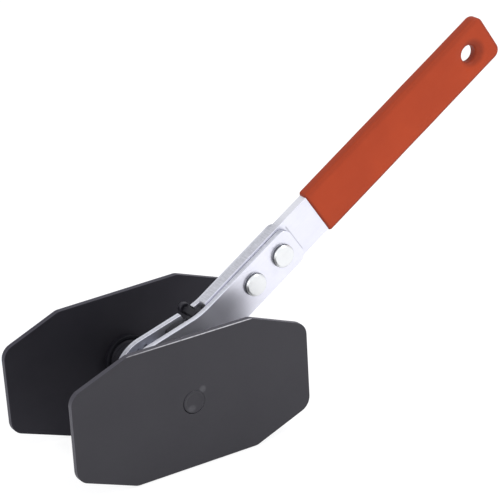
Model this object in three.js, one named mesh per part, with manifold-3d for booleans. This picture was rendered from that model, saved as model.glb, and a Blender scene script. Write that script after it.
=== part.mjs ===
// Ratcheting disc-brake piston spreader, in millimetres, +Z up.
//
// Two flat eight-sided pressure plates stand face to face, each fixed to the end of a screw.
// One screw is right-handed, the other left-handed, and both run in one ratchet barrel
// between them, so turning the barrel drives the plates apart or together. A flat steel
// handle swings about the barrel between two riveted cheeks, and a reversible pawl between
// the cheeks lets it drive the barrel one way and click back the other way.
//
// Frame: the tool stands on the lower edges of its plates, and the origin is the middle of
// the near plate's lower edge, straight below the screw axis. +X runs along the plates' long
// side, +Y along the screw axis from the near plate to the far one. The pieces are drawn
// about the middle of the head, and the group is then set on that origin: there, the solid
// right-hand screw and the near plate are on the -Y side, the hollow left-hand screw and the
// far plate on the +Y side.
//
// Profiles of turned pieces are [radius, y] points, outlines are [x, z] points.

import * as THREE from 'three';
import * as BufferGeometryUtils from 'three/addons/utils/BufferGeometryUtils.js';
import Module from 'manifold-3d';

const wasm = await Module();
wasm.setup();

const DEG = Math.PI / 180;

// ---------------------------------------------------------------- driving dimensions

const GAP = 0.3;                    // clearance between neighbouring pieces
const SEAT = 0.05;                  // hairline between faces that bear on each other

// pressure plates
const PLATE_LENGTH = 120;
const PLATE_HEIGHT = 62.4;
const PLATE_SIDE_EDGE = 40.1;       // straight upright edge at each end, corner to corner
const PLATE_TOP_EDGE = 62.1;        // straight top and bottom edge, corner to corner
const PLATE_THICKNESS = 2.9;
const PLATE_END_RADIUS = 7.0;       // the four corners at the ends
const PLATE_TOP_RADIUS = 6;         // the four corners at the top and bottom
const PLATE_INNER_Y = 29.35;        // inner face from the head's middle, plates fully open
const PLATE_OUTER_Y = PLATE_INNER_Y + PLATE_THICKNESS;
const FAR_PLATE_TWIST = 0.9;        // degrees, how the far plate has been left on its screw

// screws: travel 12.5 mm a side in five turns; hand is +1 for right, -1 for left
const PITCH = 2.5;
const THREAD_SIDES = 20;
const FAR_SCREW = { threadR: 9.0, rootR: 7.9, length: 23.4, hand: -1 };
const NEAR_SCREW = { threadR: 5.5, rootR: 4.45, length: 26.0, hand: 1 };
const FAR_BORE_R = 5.95;
const COLLAR_R = 10.2;
const COLLAR_THICKNESS = 2.4;
const COLLAR_FACE_Y = PLATE_INNER_Y - SEAT;
const COLLAR_BACK_Y = COLLAR_FACE_Y - COLLAR_THICKNESS;
const WASHER_R = 11.0;
const WASHER_THICKNESS = 1.2;
const STUB_R = 5.3;                 // end of each screw, upset in the plate's hole

// ratchet barrel
const TEETH = 24;
const TOOTH_ANGLE = 360 / TEETH;    // degrees
const GEAR_TIP_R = 16.4;
const GEAR_ROOT_R = 14.7;
const VALLEY_HALF_WIDTH = 0.4;      // floor between two teeth
const TIP_HALF_WIDTH = 0.42;
const GEAR_THICKNESS = 5.6;
const HUB_R = 12.4;
const HUB_HALF_LENGTH = 12.0;
const NEAR_NUT_END_Y = -7.0;        // the small bore runs from the hub's near end to here

// handle frame, in its own axes: x along the handle, z across it, y across the head
const HANDLE_ANGLE = 32.83;         // degrees above the tool's +X
const BAR_HALF_WIDTH = 10.85;
const BAR_HALF_THICKNESS = 2.3;
const BAR_START = 37.3;
const BAR_END = 221.4;
const DETENT_SLOT_END = 50.5;
const DETENT_SLOT_HALF_WIDTH = 2.35;

// cheeks
const CHEEK_R = 19.2;               // head circle
const CHEEK_FLANK_ANGLE = 16.7;     // degrees between each flank and the handle
const CHEEK_NECK_HALF_WIDTH = 9.9;
const CHEEK_NECK_FILLET = 40;
const CHEEK_END = 88.2;
const CHEEK_END_RADIUS = 4.5;
const CHEEK_HEAD_INNER_Y = 3.1;
const CHEEK_BAR_INNER_Y = 2.55;
const CHEEK_THICKNESS = 3.0;
const JOGGLE_FROM = 28;
const JOGGLE_TO = 39;
const NOTCH_FROM = 26.9;            // window for the reversing lever in the far cheek
const NOTCH_TO = 33.7;
const NOTCH_FLOOR = 6.9;

// rivets
const RIVETS = [['rivet_inner', 60.5], ['rivet_outer', 78.8]];   // name, x
const RIVET_Z = 0.35;
const RIVET_SHANK_R = 3.2;

// pawl and its pivot pin
const PIVOT_X = 24.5;
const PIVOT = [PIVOT_X, 0];
const PIN_SHANK_R = 3.0;
const PAWL_HALF_FLIP = 6;           // degrees either side of the middle
const PAWL_HALF_THICKNESS = 2.35;
const PAWL_NOSE_ANGLE = 2 * TOOTH_ANGLE;   // from the handle's middle line
const PAWL_FRONT_R = 17.75;         // hollow face, about the screw axis
const PAWL_BACK_R = 10.55;          // back face, about the pivot
const PAWL_DETENT_DEPTH = 0.4;

// reversing lever and knob; x and z as at the middle of the pawl's flip
const LEVER_X = 30.25;
const LEVER_HALF_WIDTH = 1.9;
const LEVER_FOOT_Z = 8.3;
const LEVER_TOP_Z = 11.0;
const LEVER_START_Y = -1.6;
const LEVER_END_Y = 7.3;
const TENON_R = 1.1;
const TENON_END_Y = 9.6;
const KNOB_R = 2.6;

// detent plunger and spring
const PLUNGER_TIP = PIVOT_X + PAWL_BACK_R + GAP;
const PLUNGER_R = 2.0;
const PLUNGER_NOSE_LENGTH = 1.2;
const PLUNGER_TAIL_R = 1.05;
const SPRING_WIRE_R = 0.28;
const SPRING_R = 1.68;
const SPRING_TURNS = 6.5;
const SPRING_START = PLUNGER_TIP + 5.2;
const SPRING_END = DETENT_SLOT_END - 0.6;

// grip
const GRIP_START = 104.5;
const GRIP_END = 223.8;
const GRIP_HALF_WIDTH = 12.3;
const GRIP_HALF_THICKNESS = 3.13;
const GRIP_EDGE_R = 1.35;
const GRIP_CORNER_R = 4.4;
const GRIP_FIT = 0.25;              // clearance on the bar's faces and edges
const HANG_HOLE_X = 209.4;
const HANG_HOLE_R = 4.15;
const HANG_SLEEVE_R = HANG_HOLE_R + 0.65;   // the grip's lining through the bar

const ROUND = 36;                   // sides on a full circle
const SMALL_ROUND = 28;             // sides on rivets, the pivot pin and their holes
const HANG_HOLE_SIDES = 32;
const CUT_Y = 12;                   // half length of cutters that run right through

// ---------------------------------------------------------------- outlines

const polar = (radius, degrees) =>
  [radius * Math.cos(degrees * DEG), radius * Math.sin(degrees * DEG)];

function rotated([x, z], degrees, [centreX, centreZ]) {
  const cos = Math.cos(degrees * DEG);
  const sin = Math.sin(degrees * DEG);
  return [
    centreX + (x - centreX) * cos - (z - centreZ) * sin,
    centreZ + (x - centreX) * sin + (z - centreZ) * cos,
  ];
}

const toVectors = (points) => points.map(([x, y]) => new THREE.Vector2(x, y));

// closes an upper half outline with its mirror image below z = 0, sharing the first point
function withLowerHalf(upper) {
  return [...upper, ...upper.slice(1).reverse().map(([x, z]) => [x, -z])];
}

// corners [x, z, radius] joined by straight edges; a corner without a radius stays sharp
function rounded(corners, stepDegrees = 15) {
  const points = [];
  const total = corners.length;
  corners.forEach(([x, z, radius], i) => {
    if (!radius) {
      points.push([x, z]);
      return;
    }
    const [beforeX, beforeZ] = corners[(i + total - 1) % total];
    const [afterX, afterZ] = corners[(i + 1) % total];
    const corner = new THREE.Vector2(x, z);
    const back = new THREE.Vector2(beforeX - x, beforeZ - z).normalize();
    const ahead = new THREE.Vector2(afterX - x, afterZ - z).normalize();
    const halfAngle = Math.acos(THREE.MathUtils.clamp(back.dot(ahead), -1, 1)) / 2;
    const tangent = radius / Math.tan(halfAngle);
    const start = corner.clone().addScaledVector(back, tangent);
    const end = corner.clone().addScaledVector(ahead, tangent);
    const bisector = back.clone().add(ahead).normalize();
    const centre = corner.clone().addScaledVector(bisector, radius / Math.sin(halfAngle));
    const startAngle = Math.atan2(start.y - centre.y, start.x - centre.x);
    let sweep = Math.atan2(end.y - centre.y, end.x - centre.x) - startAngle;
    while (sweep > Math.PI) sweep -= 2 * Math.PI;
    while (sweep < -Math.PI) sweep += 2 * Math.PI;
    const count = Math.max(2, Math.ceil(Math.abs(sweep) / (stepDegrees * DEG)));
    for (let k = 0; k <= count; k += 1) {
      const angle = startAngle + (sweep * k) / count;
      points.push([centre.x + radius * Math.cos(angle), centre.y + radius * Math.sin(angle)]);
    }
  });
  return points;
}

// ---------------------------------------------------------------- solids

// manifold from a closed three.js geometry: welded, without slivers, faces outwards
function solid(geometry) {
  const bare = new THREE.BufferGeometry()
    .setAttribute('position', geometry.attributes.position)
    .setIndex(geometry.index);
  const welded = BufferGeometryUtils.mergeVertices(bare, 1e-4);
  const position = welded.attributes.position;
  const index = welded.index.array;
  const vertex = (i) => new THREE.Vector3().fromBufferAttribute(position, i);
  const kept = [];
  let volume = 0;
  for (let i = 0; i < index.length; i += 3) {
    const [first, second, third] = index.slice(i, i + 3);
    if (first === second || second === third || third === first) continue;
    kept.push(first, second, third);
    volume += vertex(first).dot(vertex(second).cross(vertex(third)));
  }
  if (volume < 0) {
    for (let i = 0; i < kept.length; i += 3) [kept[i], kept[i + 1]] = [kept[i + 1], kept[i]];
  }
  return new wasm.Manifold(new wasm.Mesh({
    numProp: 3,
    vertProperties: new Float32Array(position.array),
    triVerts: new Uint32Array(kept),
  }));
}

// every manifold here carries positions only, three numbers to a vertex
function geometryOf(body) {
  const mesh = body.getMesh();
  const geometry = new THREE.BufferGeometry();
  const position = new Float32Array(mesh.vertProperties);
  geometry.setAttribute('position', new THREE.BufferAttribute(position, 3));
  geometry.setIndex(new THREE.BufferAttribute(new Uint32Array(mesh.triVerts), 1));
  geometry.computeVertexNormals();
  return geometry;
}

function prism(outline, startY, endY) {
  const geometry = new THREE.ExtrudeGeometry(new THREE.Shape(toVectors(outline)), {
    depth: endY - startY, bevelEnabled: false, steps: 1,
  });
  geometry.rotateX(Math.PI / 2);
  geometry.translate(0, endY, 0);
  return solid(geometry);
}

// body of revolution about a line along y through [x, z]
function turned(profile, x = 0, z = 0, sides = ROUND) {
  const geometry = new THREE.LatheGeometry(toVectors(profile), sides);
  geometry.translate(x, 0, z);
  return solid(geometry);
}

// the same from the +y half of a profile that is symmetrical about y = 0
function turnedBothWays(half, x, z, sides) {
  const other = half.slice().reverse().map(([radius, y]) => [radius, -y]);
  return turned([...other, ...half], x, z, sides);
}

const disc = (radius, startY, endY, x, z, sides) =>
  turned([[0, startY], [radius, startY], [radius, endY], [0, endY]], x, z, sides);

const throughPrism = (outline) => prism(outline, -CUT_Y, CUT_Y);

const throughDisc = (radius, x, z, sides) => disc(radius, -CUT_Y, CUT_Y, x, z, sides);

const pivotHole = () => throughDisc(PIN_SHANK_R + GAP, PIVOT_X, 0, SMALL_ROUND);

function drillForRivets(body) {
  return RIVETS.reduce((drilled, [, x]) =>
    drilled.subtract(throughDisc(RIVET_SHANK_R + GAP, x, RIVET_Z, SMALL_ROUND)), body);
}

// ---------------------------------------------------------------- materials and groups

const finish = {
  zinc: { color: 0xc9ccd4, roughness: 0.32, metalness: 1.0 },
  plate: { color: 0x2b2a2e, roughness: 0.55, metalness: 0.3 },
  black: { color: 0x1b1b1f, roughness: 0.5, metalness: 0.6 },
  screw: { color: 0x2a2b2e, roughness: 0.4, metalness: 0.8 },
  gear: { color: 0x5c6068, roughness: 0.4, metalness: 1.0 },
  spring: { color: 0xa8adb3, roughness: 0.3, metalness: 1.0 },
  grip: { color: 0xb23a22, roughness: 0.45, metalness: 0.0 },
};

const tool = new THREE.Group();
tool.name = 'brake_piston_spreader';
tool.position.set(0, PLATE_INNER_Y + PLATE_THICKNESS / 2, PLATE_HEIGHT / 2);
const handle = new THREE.Group();
handle.name = 'handle_frame';
handle.rotation.y = -HANDLE_ANGLE * DEG;
tool.add(handle);

function addPiece(parent, name, body, look) {
  const material = new THREE.MeshStandardMaterial(finish[look]);
  const mesh = new THREE.Mesh(geometryOf(body), material);
  mesh.name = name;
  parent.add(mesh);
  return mesh;
}

// a piece drawn on the +y side, turned half round to the -y side
function addNearPiece(name, body, look) {
  addPiece(tool, name, body, look).rotation.z = Math.PI;
}

// ---------------------------------------------------------------- pressure plates

function plateOutline() {
  const endX = PLATE_LENGTH / 2;
  const topZ = PLATE_HEIGHT / 2;
  const sideZ = PLATE_SIDE_EDGE / 2;
  const topX = PLATE_TOP_EDGE / 2;
  return rounded([
    [endX, -sideZ, PLATE_END_RADIUS], [endX, sideZ, PLATE_END_RADIUS],
    [topX, topZ, PLATE_TOP_RADIUS], [-topX, topZ, PLATE_TOP_RADIUS],
    [-endX, sideZ, PLATE_END_RADIUS], [-endX, -sideZ, PLATE_END_RADIUS],
    [-topX, -topZ, PLATE_TOP_RADIUS], [topX, -topZ, PLATE_TOP_RADIUS],
  ]);
}

function plate() {
  const holeR = STUB_R + GAP;
  // hole for the screw's end, eased at the outer mouth
  const hole = turned([
    [0, PLATE_INNER_Y - 1], [holeR, PLATE_INNER_Y - 1],
    [holeR, PLATE_OUTER_Y - 0.55], [holeR + 0.65, PLATE_OUTER_Y + 0.1],
    [0, PLATE_OUTER_Y + 0.1],
  ]);
  return prism(plateOutline(), PLATE_INNER_Y, PLATE_OUTER_Y).subtract(hole);
}

addPiece(tool, 'far_plate', plate(), 'plate').rotation.y = -FAR_PLATE_TWIST * DEG;
addNearPiece('near_plate', plate(), 'plate');

// ---------------------------------------------------------------- screws

// thread about y: a closed helical grid that runs past both ends, to be trimmed to its blank
function thread({ threadR, rootR, hand }, startY, endY) {
  const profile = [[0.0, rootR], [0.36, threadR], [0.64, threadR]];   // fraction of pitch, radius
  const rows = profile.length;
  const turns = Math.ceil((endY - startY) / PITCH) + 3;
  const bottom = startY - 1.5 * PITCH;
  const columnLength = rows * (turns + 1) + 1;
  const last = columnLength - 1 - rows;
  const position = [];
  for (let i = 0; i < THREAD_SIDES; i += 1) {
    const angle = (2 * Math.PI * i) / THREAD_SIDES;
    for (let j = 0; j < columnLength; j += 1) {
      const [fraction, radius] = profile[j % rows];
      const y = bottom + PITCH * (Math.floor(j / rows) + fraction + i / THREAD_SIDES);
      position.push(radius * Math.cos(angle), y, -hand * radius * Math.sin(angle));
    }
  }
  const foot = position.length / 3;
  const head = foot + 1;
  position.push(0, bottom - 0.5 * PITCH, 0);
  position.push(0, bottom + PITCH * (turns + 2.5), 0);

  // the column after the last is the first one, a turn further on
  const at = (i, j) => (i === THREAD_SIDES ? j + rows : i * columnLength + j);
  const index = [];
  for (let i = 0; i < THREAD_SIDES; i += 1) {
    for (let j = 0; j < last; j += 1) {
      index.push(at(i, j), at(i + 1, j), at(i + 1, j + 1));
      index.push(at(i, j), at(i + 1, j + 1), at(i, j + 1));
    }
  }
  for (let i = 0; i < THREAD_SIDES; i += 1) {
    index.push(foot, at(i + 1, 0), at(i, 0));
    index.push(head, at(i, last), at(i + 1, last));
  }
  for (let j = 0; j < rows; j += 1) {          // the step where a turn meets the next one
    index.push(foot, at(0, j), at(0, j + 1));
    index.push(head, at(0, last + j + 1), at(0, last + j));
  }
  const geometry = new THREE.BufferGeometry();
  geometry.setAttribute('position', new THREE.BufferAttribute(new Float32Array(position), 3));
  geometry.setIndex(index);
  return solid(geometry);
}

// collar that bears on the plate, and the end upset into the plate's hole
function collarAndStub(throatR) {
  const tip = PLATE_OUTER_Y - 0.15;
  return turned([
    [0, COLLAR_BACK_Y], [throatR, COLLAR_BACK_Y],
    [COLLAR_R - 0.5, COLLAR_BACK_Y], [COLLAR_R, COLLAR_BACK_Y + 0.5],
    [COLLAR_R, COLLAR_FACE_Y], [STUB_R, COLLAR_FACE_Y],
    [STUB_R, tip - 0.4], [STUB_R - 0.5, tip], [3.4, tip], [2.6, tip - 0.55], [0, tip - 0.7],
  ]);
}

function screw(size) {
  const { threadR, rootR, length } = size;
  const tip = PLATE_INNER_Y - length;
  const rootEnd = COLLAR_BACK_Y + 0.6;         // the blank runs a little into the collar
  const blank = turned([
    [0, tip], [rootR - 0.2, tip], [threadR + 0.2, tip + (threadR - rootR) + 0.4],
    [threadR + 0.2, rootEnd], [0, rootEnd],
  ]);
  return thread(size, tip, COLLAR_BACK_Y).intersect(blank).add(collarAndStub(rootR));
}

// blind bore from the far screw's tip, eased at the mouth and coned at the bottom
function farBore() {
  const tip = PLATE_INNER_Y - FAR_SCREW.length;
  return turned([
    [0, tip - 1], [FAR_BORE_R + 0.7, tip - 1], [FAR_BORE_R + 0.7, tip],
    [FAR_BORE_R, tip + 0.7], [FAR_BORE_R, PLATE_INNER_Y - 2.6], [2.0, PLATE_INNER_Y - 1.0],
    [0, PLATE_INNER_Y - 1.0],
  ]);
}

// thrust washer between the barrel and a collar, loose on the screw
function washer(holeR) {
  const outerY = COLLAR_BACK_Y - GAP;
  const innerY = outerY - WASHER_THICKNESS;
  const chamfer = 0.25;
  return turned([
    [holeR, innerY], [WASHER_R - chamfer, innerY], [WASHER_R, innerY + chamfer],
    [WASHER_R, outerY - chamfer], [WASHER_R - chamfer, outerY], [holeR, outerY],
    [holeR, innerY],
  ]);
}

addPiece(tool, 'far_screw', screw(FAR_SCREW).subtract(farBore()), 'screw');
addNearPiece('near_screw', screw(NEAR_SCREW), 'screw');
addPiece(tool, 'far_thrust_washer', washer(FAR_SCREW.threadR + GAP), 'screw');
addNearPiece('near_thrust_washer', washer(NEAR_SCREW.threadR + GAP), 'screw');

// ---------------------------------------------------------------- ratchet barrel

function gearOutline() {
  const valley = (VALLEY_HALF_WIDTH / GEAR_ROOT_R) / DEG;
  const land = (TIP_HALF_WIDTH / GEAR_TIP_R) / DEG;
  const points = [];
  for (let i = 0; i < TEETH; i += 1) {
    const valleyMiddle = i * TOOTH_ANGLE;           // a valley lies on the handle's line
    const tipMiddle = valleyMiddle + TOOTH_ANGLE / 2;
    points.push(polar(GEAR_ROOT_R, valleyMiddle - valley));
    points.push(polar(GEAR_ROOT_R, valleyMiddle + valley));
    points.push(polar(GEAR_TIP_R, tipMiddle - land));
    points.push(polar(GEAR_TIP_R, tipMiddle + land));
  }
  return points;
}

// stepped bore, small for the near screw and large for the far one, eased at both mouths
function barrelBore() {
  const nearR = NEAR_SCREW.threadR + 0.35;
  const farR = FAR_SCREW.threadR + 0.35;
  const mouth = 0.75;
  return turned([
    [0, -HUB_HALF_LENGTH - 1], [nearR + mouth, -HUB_HALF_LENGTH - 1],
    [nearR + mouth, -HUB_HALF_LENGTH], [nearR, -HUB_HALF_LENGTH + mouth],
    [nearR, NEAR_NUT_END_Y], [farR, NEAR_NUT_END_Y],
    [farR, HUB_HALF_LENGTH - mouth], [farR + mouth, HUB_HALF_LENGTH],
    [farR + mouth, HUB_HALF_LENGTH + 1], [0, HUB_HALF_LENGTH + 1],
  ]);
}

function barrel() {
  const chamfer = 0.5;
  const hub = turnedBothWays([
    [HUB_R, HUB_HALF_LENGTH - chamfer], [HUB_R - chamfer, HUB_HALF_LENGTH],
    [0, HUB_HALF_LENGTH],
  ]);
  const teeth = prism(gearOutline(), -GEAR_THICKNESS / 2, GEAR_THICKNESS / 2);
  return teeth.add(hub).subtract(barrelBore());
}

addPiece(handle, 'ratchet_barrel', barrel(), 'gear');

// ---------------------------------------------------------------- handle bar and grip

function handleBar() {
  const blank = prism(rounded([
    [BAR_START, -BAR_HALF_WIDTH, 0.6], [BAR_END, -BAR_HALF_WIDTH, 3.6],
    [BAR_END, BAR_HALF_WIDTH, 3.6], [BAR_START, BAR_HALF_WIDTH, 0.6],
  ]), -BAR_HALF_THICKNESS, BAR_HALF_THICKNESS);
  const detentSlot = throughPrism([
    [BAR_START - 1, -DETENT_SLOT_HALF_WIDTH], [DETENT_SLOT_END, -DETENT_SLOT_HALF_WIDTH],
    [DETENT_SLOT_END, DETENT_SLOT_HALF_WIDTH], [BAR_START - 1, DETENT_SLOT_HALF_WIDTH],
  ]);
  return drillForRivets(blank)
    .subtract(throughDisc(HANG_SLEEVE_R + GAP, HANG_HOLE_X, 0, HANG_HOLE_SIDES))
    .subtract(detentSlot);
}

// the grip's outside, with rounded edges
function gripBody() {
  const start = GRIP_START + GRIP_EDGE_R;
  const end = GRIP_END - GRIP_EDGE_R;
  const half = GRIP_HALF_WIDTH - GRIP_EDGE_R;
  const endRadius = GRIP_CORNER_R - GRIP_EDGE_R;
  const outline = rounded([
    [start, -half, 0.5], [end, -half, endRadius], [end, half, endRadius], [start, half, 0.5],
  ], 18);
  const geometry = new THREE.ExtrudeGeometry(new THREE.Shape(toVectors(outline)), {
    depth: 2 * (GRIP_HALF_THICKNESS - GRIP_EDGE_R),
    bevelEnabled: true,
    bevelThickness: GRIP_EDGE_R,
    bevelSize: GRIP_EDGE_R,
    bevelSegments: 3,
    steps: 1,
  });
  geometry.rotateX(Math.PI / 2);
  geometry.translate(0, GRIP_HALF_THICKNESS - GRIP_EDGE_R, 0);
  return solid(geometry);
}

// room for the bar, open at the head end, less the lining of the hanging hole
function gripCavity() {
  const start = GRIP_START - 3;
  const end = BAR_END + GAP;
  const half = BAR_HALF_WIDTH + GRIP_FIT;
  const halfThickness = BAR_HALF_THICKNESS + GRIP_FIT;
  return prism(
    rounded([[start, -half, 0], [end, -half, 3.5], [end, half, 3.5], [start, half, 0]]),
    -halfThickness,
    halfThickness,
  ).subtract(throughDisc(HANG_SLEEVE_R, HANG_HOLE_X, 0, HANG_HOLE_SIDES));
}

// hanging hole, flared at both faces
function gripHole() {
  return turnedBothWays([
    [HANG_HOLE_R, GRIP_HALF_THICKNESS - 1.7], [HANG_HOLE_R + 0.35, GRIP_HALF_THICKNESS - 0.8],
    [HANG_HOLE_R + 1.1, GRIP_HALF_THICKNESS - 0.22],
    [HANG_HOLE_R + 2.4, GRIP_HALF_THICKNESS + 0.02], [HANG_HOLE_R + 2.4, 6], [0, 6],
  ], HANG_HOLE_X, 0, HANG_HOLE_SIDES);
}

addPiece(handle, 'handle_bar', handleBar(), 'zinc');
addPiece(handle, 'grip_sleeve', gripBody().subtract(gripCavity()).subtract(gripHole()), 'grip');

// ---------------------------------------------------------------- cheeks

function cheekOutline() {
  const half = CHEEK_NECK_HALF_WIDTH;
  const normal = 90 - CHEEK_FLANK_ANGLE;             // direction of the flank's normal
  const neckX = (CHEEK_R - half * Math.sin(normal * DEG)) / Math.cos(normal * DEG);
  const upper = [];
  for (let angle = 180; angle > normal; angle -= 7.5) upper.push(polar(CHEEK_R, angle));
  const flankStart = polar(CHEEK_R, normal);
  const neckFillet = rounded([
    flankStart, [neckX, half, CHEEK_NECK_FILLET], [CHEEK_END, half],
  ], 2.4).slice(1, -1);
  upper.push(flankStart, ...neckFillet);
  for (let k = 0; k <= 5; k += 1) {
    const [x, z] = polar(CHEEK_END_RADIUS, 90 - 18 * k);
    upper.push([CHEEK_END - CHEEK_END_RADIUS + x, half - CHEEK_END_RADIUS + z]);
  }
  return withLowerHalf(upper).reverse();             // anticlockwise
}

// joggled strip on the +y side, drawn as [x, y] points and wider than the cheek
function cheekStrip() {
  const inner = [[-30, CHEEK_HEAD_INNER_Y]];
  for (let k = 0; k <= 6; k += 1) {
    const along = k / 6;
    const eased = along * along * (3 - 2 * along);
    inner.push([
      JOGGLE_FROM + (JOGGLE_TO - JOGGLE_FROM) * along,
      CHEEK_HEAD_INNER_Y + (CHEEK_BAR_INNER_Y - CHEEK_HEAD_INNER_Y) * eased,
    ]);
  }
  inner.push([100, CHEEK_BAR_INNER_Y]);
  const outer = inner.map(([x, y]) => [x, y + CHEEK_THICKNESS]).reverse();
  const shape = new THREE.Shape(toVectors([...inner, ...outer]));
  const width = 60;
  const geometry = new THREE.ExtrudeGeometry(shape, {
    depth: width, bevelEnabled: false, steps: 1,
  });
  geometry.translate(0, 0, -width / 2);
  return solid(geometry);
}

function cheek() {
  const blank = cheekStrip().intersect(throughPrism(cheekOutline()));
  return drillForRivets(blank.subtract(throughDisc(HUB_R + 0.35)).subtract(pivotHole()));
}

function leverWindow() {
  return throughPrism(rounded([
    [NOTCH_FROM, NOTCH_FLOOR, 0.8], [NOTCH_TO, NOTCH_FLOOR, 0.8],
    [NOTCH_TO, 20], [NOTCH_FROM, 20],
  ], 30));
}

// the near cheek is the far one's mirror image in the y = 0 plane, without the window
function nearCheek() {
  const geometry = geometryOf(cheek());
  geometry.applyMatrix4(new THREE.Matrix4().makeScale(1, -1, 1));
  return solid(geometry);
}

addPiece(handle, 'far_cheek', cheek().subtract(leverWindow()), 'zinc');
addPiece(handle, 'near_cheek', nearCheek(), 'zinc');

// ---------------------------------------------------------------- rivets and pivot pin

// shank with a head on each cheek; seatY is the cheek's outer face
function rivet({ x, z, seatY, shankR, headR, faceR, height }) {
  const headStart = seatY + 0.1;
  return turnedBothWays([
    [shankR, headStart], [headR, headStart], [headR - 0.05, headStart + height * 0.6],
    [headR - 0.35, headStart + height * 0.86], [faceR, headStart + height],
    [0, headStart + height],
  ], x, z, SMALL_ROUND);
}

for (const [name, x] of RIVETS) {
  addPiece(handle, name, rivet({
    x,
    z: RIVET_Z,
    seatY: CHEEK_BAR_INNER_Y + CHEEK_THICKNESS,
    shankR: RIVET_SHANK_R,
    headR: 5.5,
    faceR: 4.65,
    height: 2.1,
  }), 'zinc');
}
addPiece(handle, 'pawl_pivot_pin', rivet({
  x: PIVOT_X,
  z: 0,
  seatY: CHEEK_HEAD_INNER_Y + CHEEK_THICKNESS,
  shankR: PIN_SHANK_R,
  headR: 5.0,
  faceR: 4.2,
  height: 1.8,
}), 'zinc');

// ---------------------------------------------------------------- pawl

// nose when engaged: [radius from the screw axis, arc length from the nose's middle line]
const PAWL_NOSE = [
  [17.7, -1.95], [16.4, -1.28], [15.2, -0.4], [15.2, 0.4], [16.4, 1.28], [18.3, 2.3],
];
// crown from the nose to the back, [x, z]
const PAWL_CROWN = [
  [19.4, 12.0], [22.6, 11.4], [26.0, 9.6], [26.6, 10.3], [34.6, 10.3], [35.3, 9.6], [35.3, 4.2],
];

// pawl at the middle of its flip
function pawlOutline() {
  const upper = [];
  for (let angle = 0; angle <= 20; angle += 5) upper.push(polar(PAWL_FRONT_R, angle));
  for (const [radius, arc] of PAWL_NOSE) {
    const engaged = polar(radius, PAWL_NOSE_ANGLE + (arc / radius) / DEG);
    upper.push(rotated(engaged, -PAWL_HALF_FLIP, PIVOT));
  }
  upper.push(...PAWL_CROWN);
  // back face with a detent notch, [radius, degrees] about the pivot
  const back = [
    [PAWL_BACK_R, 15], [PAWL_BACK_R, 10.5],
    [PAWL_BACK_R - PAWL_DETENT_DEPTH, PAWL_HALF_FLIP], [PAWL_BACK_R, 1.5],
  ];
  for (const [radius, degrees] of back) {
    const [x, z] = polar(radius, degrees);
    upper.push([PIVOT_X + x, z]);
  }
  return withLowerHalf(upper);
}

// the pawl and its lever rest with the lower nose engaged
const atRest = (point) => rotated(point, -PAWL_HALF_FLIP, PIVOT);

function pawl() {
  const half = LEVER_HALF_WIDTH + GAP;
  const floor = LEVER_FOOT_Z - GAP;
  const leverSeat = [
    [LEVER_X - half, floor], [LEVER_X + half, floor], [LEVER_X + half, 14], [LEVER_X - half, 14],
  ].map(atRest);
  return prism(pawlOutline().map(atRest), -PAWL_HALF_THICKNESS, PAWL_HALF_THICKNESS)
    .subtract(pivotHole())
    .subtract(prism(leverSeat, LEVER_START_Y - GAP, 4));
}

addPiece(handle, 'pawl', pawl(), 'black');

// ---------------------------------------------------------------- reversing lever and knob

const [KNOB_X, KNOB_Z] = atRest([LEVER_X, (LEVER_FOOT_Z + LEVER_TOP_Z) / 2 + 0.55]);

// a flat tab let into the pawl's crown, with a round tenon for the knob
function reversingLever() {
  const left = LEVER_X - LEVER_HALF_WIDTH;
  const right = LEVER_X + LEVER_HALF_WIDTH;
  const outline = rounded([
    [left, LEVER_FOOT_Z], [right, LEVER_FOOT_Z],
    [right, LEVER_TOP_Z, 0.5], [left, LEVER_TOP_Z, 0.5],
  ], 30).map(atRest);
  const tenon = disc(TENON_R, LEVER_END_Y - 1, TENON_END_Y, KNOB_X, KNOB_Z, 20);
  return prism(outline, LEVER_START_Y, LEVER_END_Y).add(tenon);
}

function leverKnob() {
  const base = LEVER_END_Y + 0.2;
  const holeR = TENON_R + GAP;
  const holeEnd = 9.95;
  return turned([
    [holeR, base], [KNOB_R - 0.3, base], [KNOB_R, base + 0.3], [KNOB_R, 9.6],
    [2.2, 10.4], [1.3, 10.85], [0, 11.0], [0, holeEnd], [holeR, holeEnd], [holeR, base],
  ], KNOB_X, KNOB_Z, 24);
}

addPiece(handle, 'reversing_lever', reversingLever(), 'black');
addPiece(handle, 'lever_knob', leverKnob(), 'black');

// ---------------------------------------------------------------- detent plunger and spring

// [radius, x] profile from the domed nose to the thin tail
function detentPlunger() {
  const profile = [];
  for (let angle = 0; angle <= 90; angle += 22.5) {
    profile.push([
      PLUNGER_R * Math.sin(angle * DEG),
      PLUNGER_TIP + PLUNGER_NOSE_LENGTH * (1 - Math.cos(angle * DEG)),
    ]);
  }
  profile.push(
    [PLUNGER_R, PLUNGER_TIP + 4.6], [PLUNGER_TAIL_R, PLUNGER_TIP + 4.6],
    [PLUNGER_TAIL_R, PLUNGER_TIP + 8.0], [0.8, PLUNGER_TIP + 8.3], [0, PLUNGER_TIP + 8.3],
  );
  const geometry = new THREE.LatheGeometry(toVectors(profile), 18);
  geometry.rotateZ(-Math.PI / 2);                    // from the y axis to the x axis
  return solid(geometry);
}

// centre line of the spring, a helix along x
class Coil extends THREE.Curve {
  getPoint(fraction, target = new THREE.Vector3()) {
    const angle = 2 * Math.PI * SPRING_TURNS * fraction;
    return target.set(
      SPRING_START + (SPRING_END - SPRING_START) * fraction,
      SPRING_R * Math.cos(angle),
      SPRING_R * Math.sin(angle),
    );
  }
}

function detentSpring() {
  const wire = Array.from({ length: 6 }, (_, k) => polar(SPRING_WIRE_R, 60 * k));
  return solid(new THREE.ExtrudeGeometry(new THREE.Shape(toVectors(wire)), {
    extrudePath: new Coil(), steps: 72, bevelEnabled: false,
  }));
}

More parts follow.
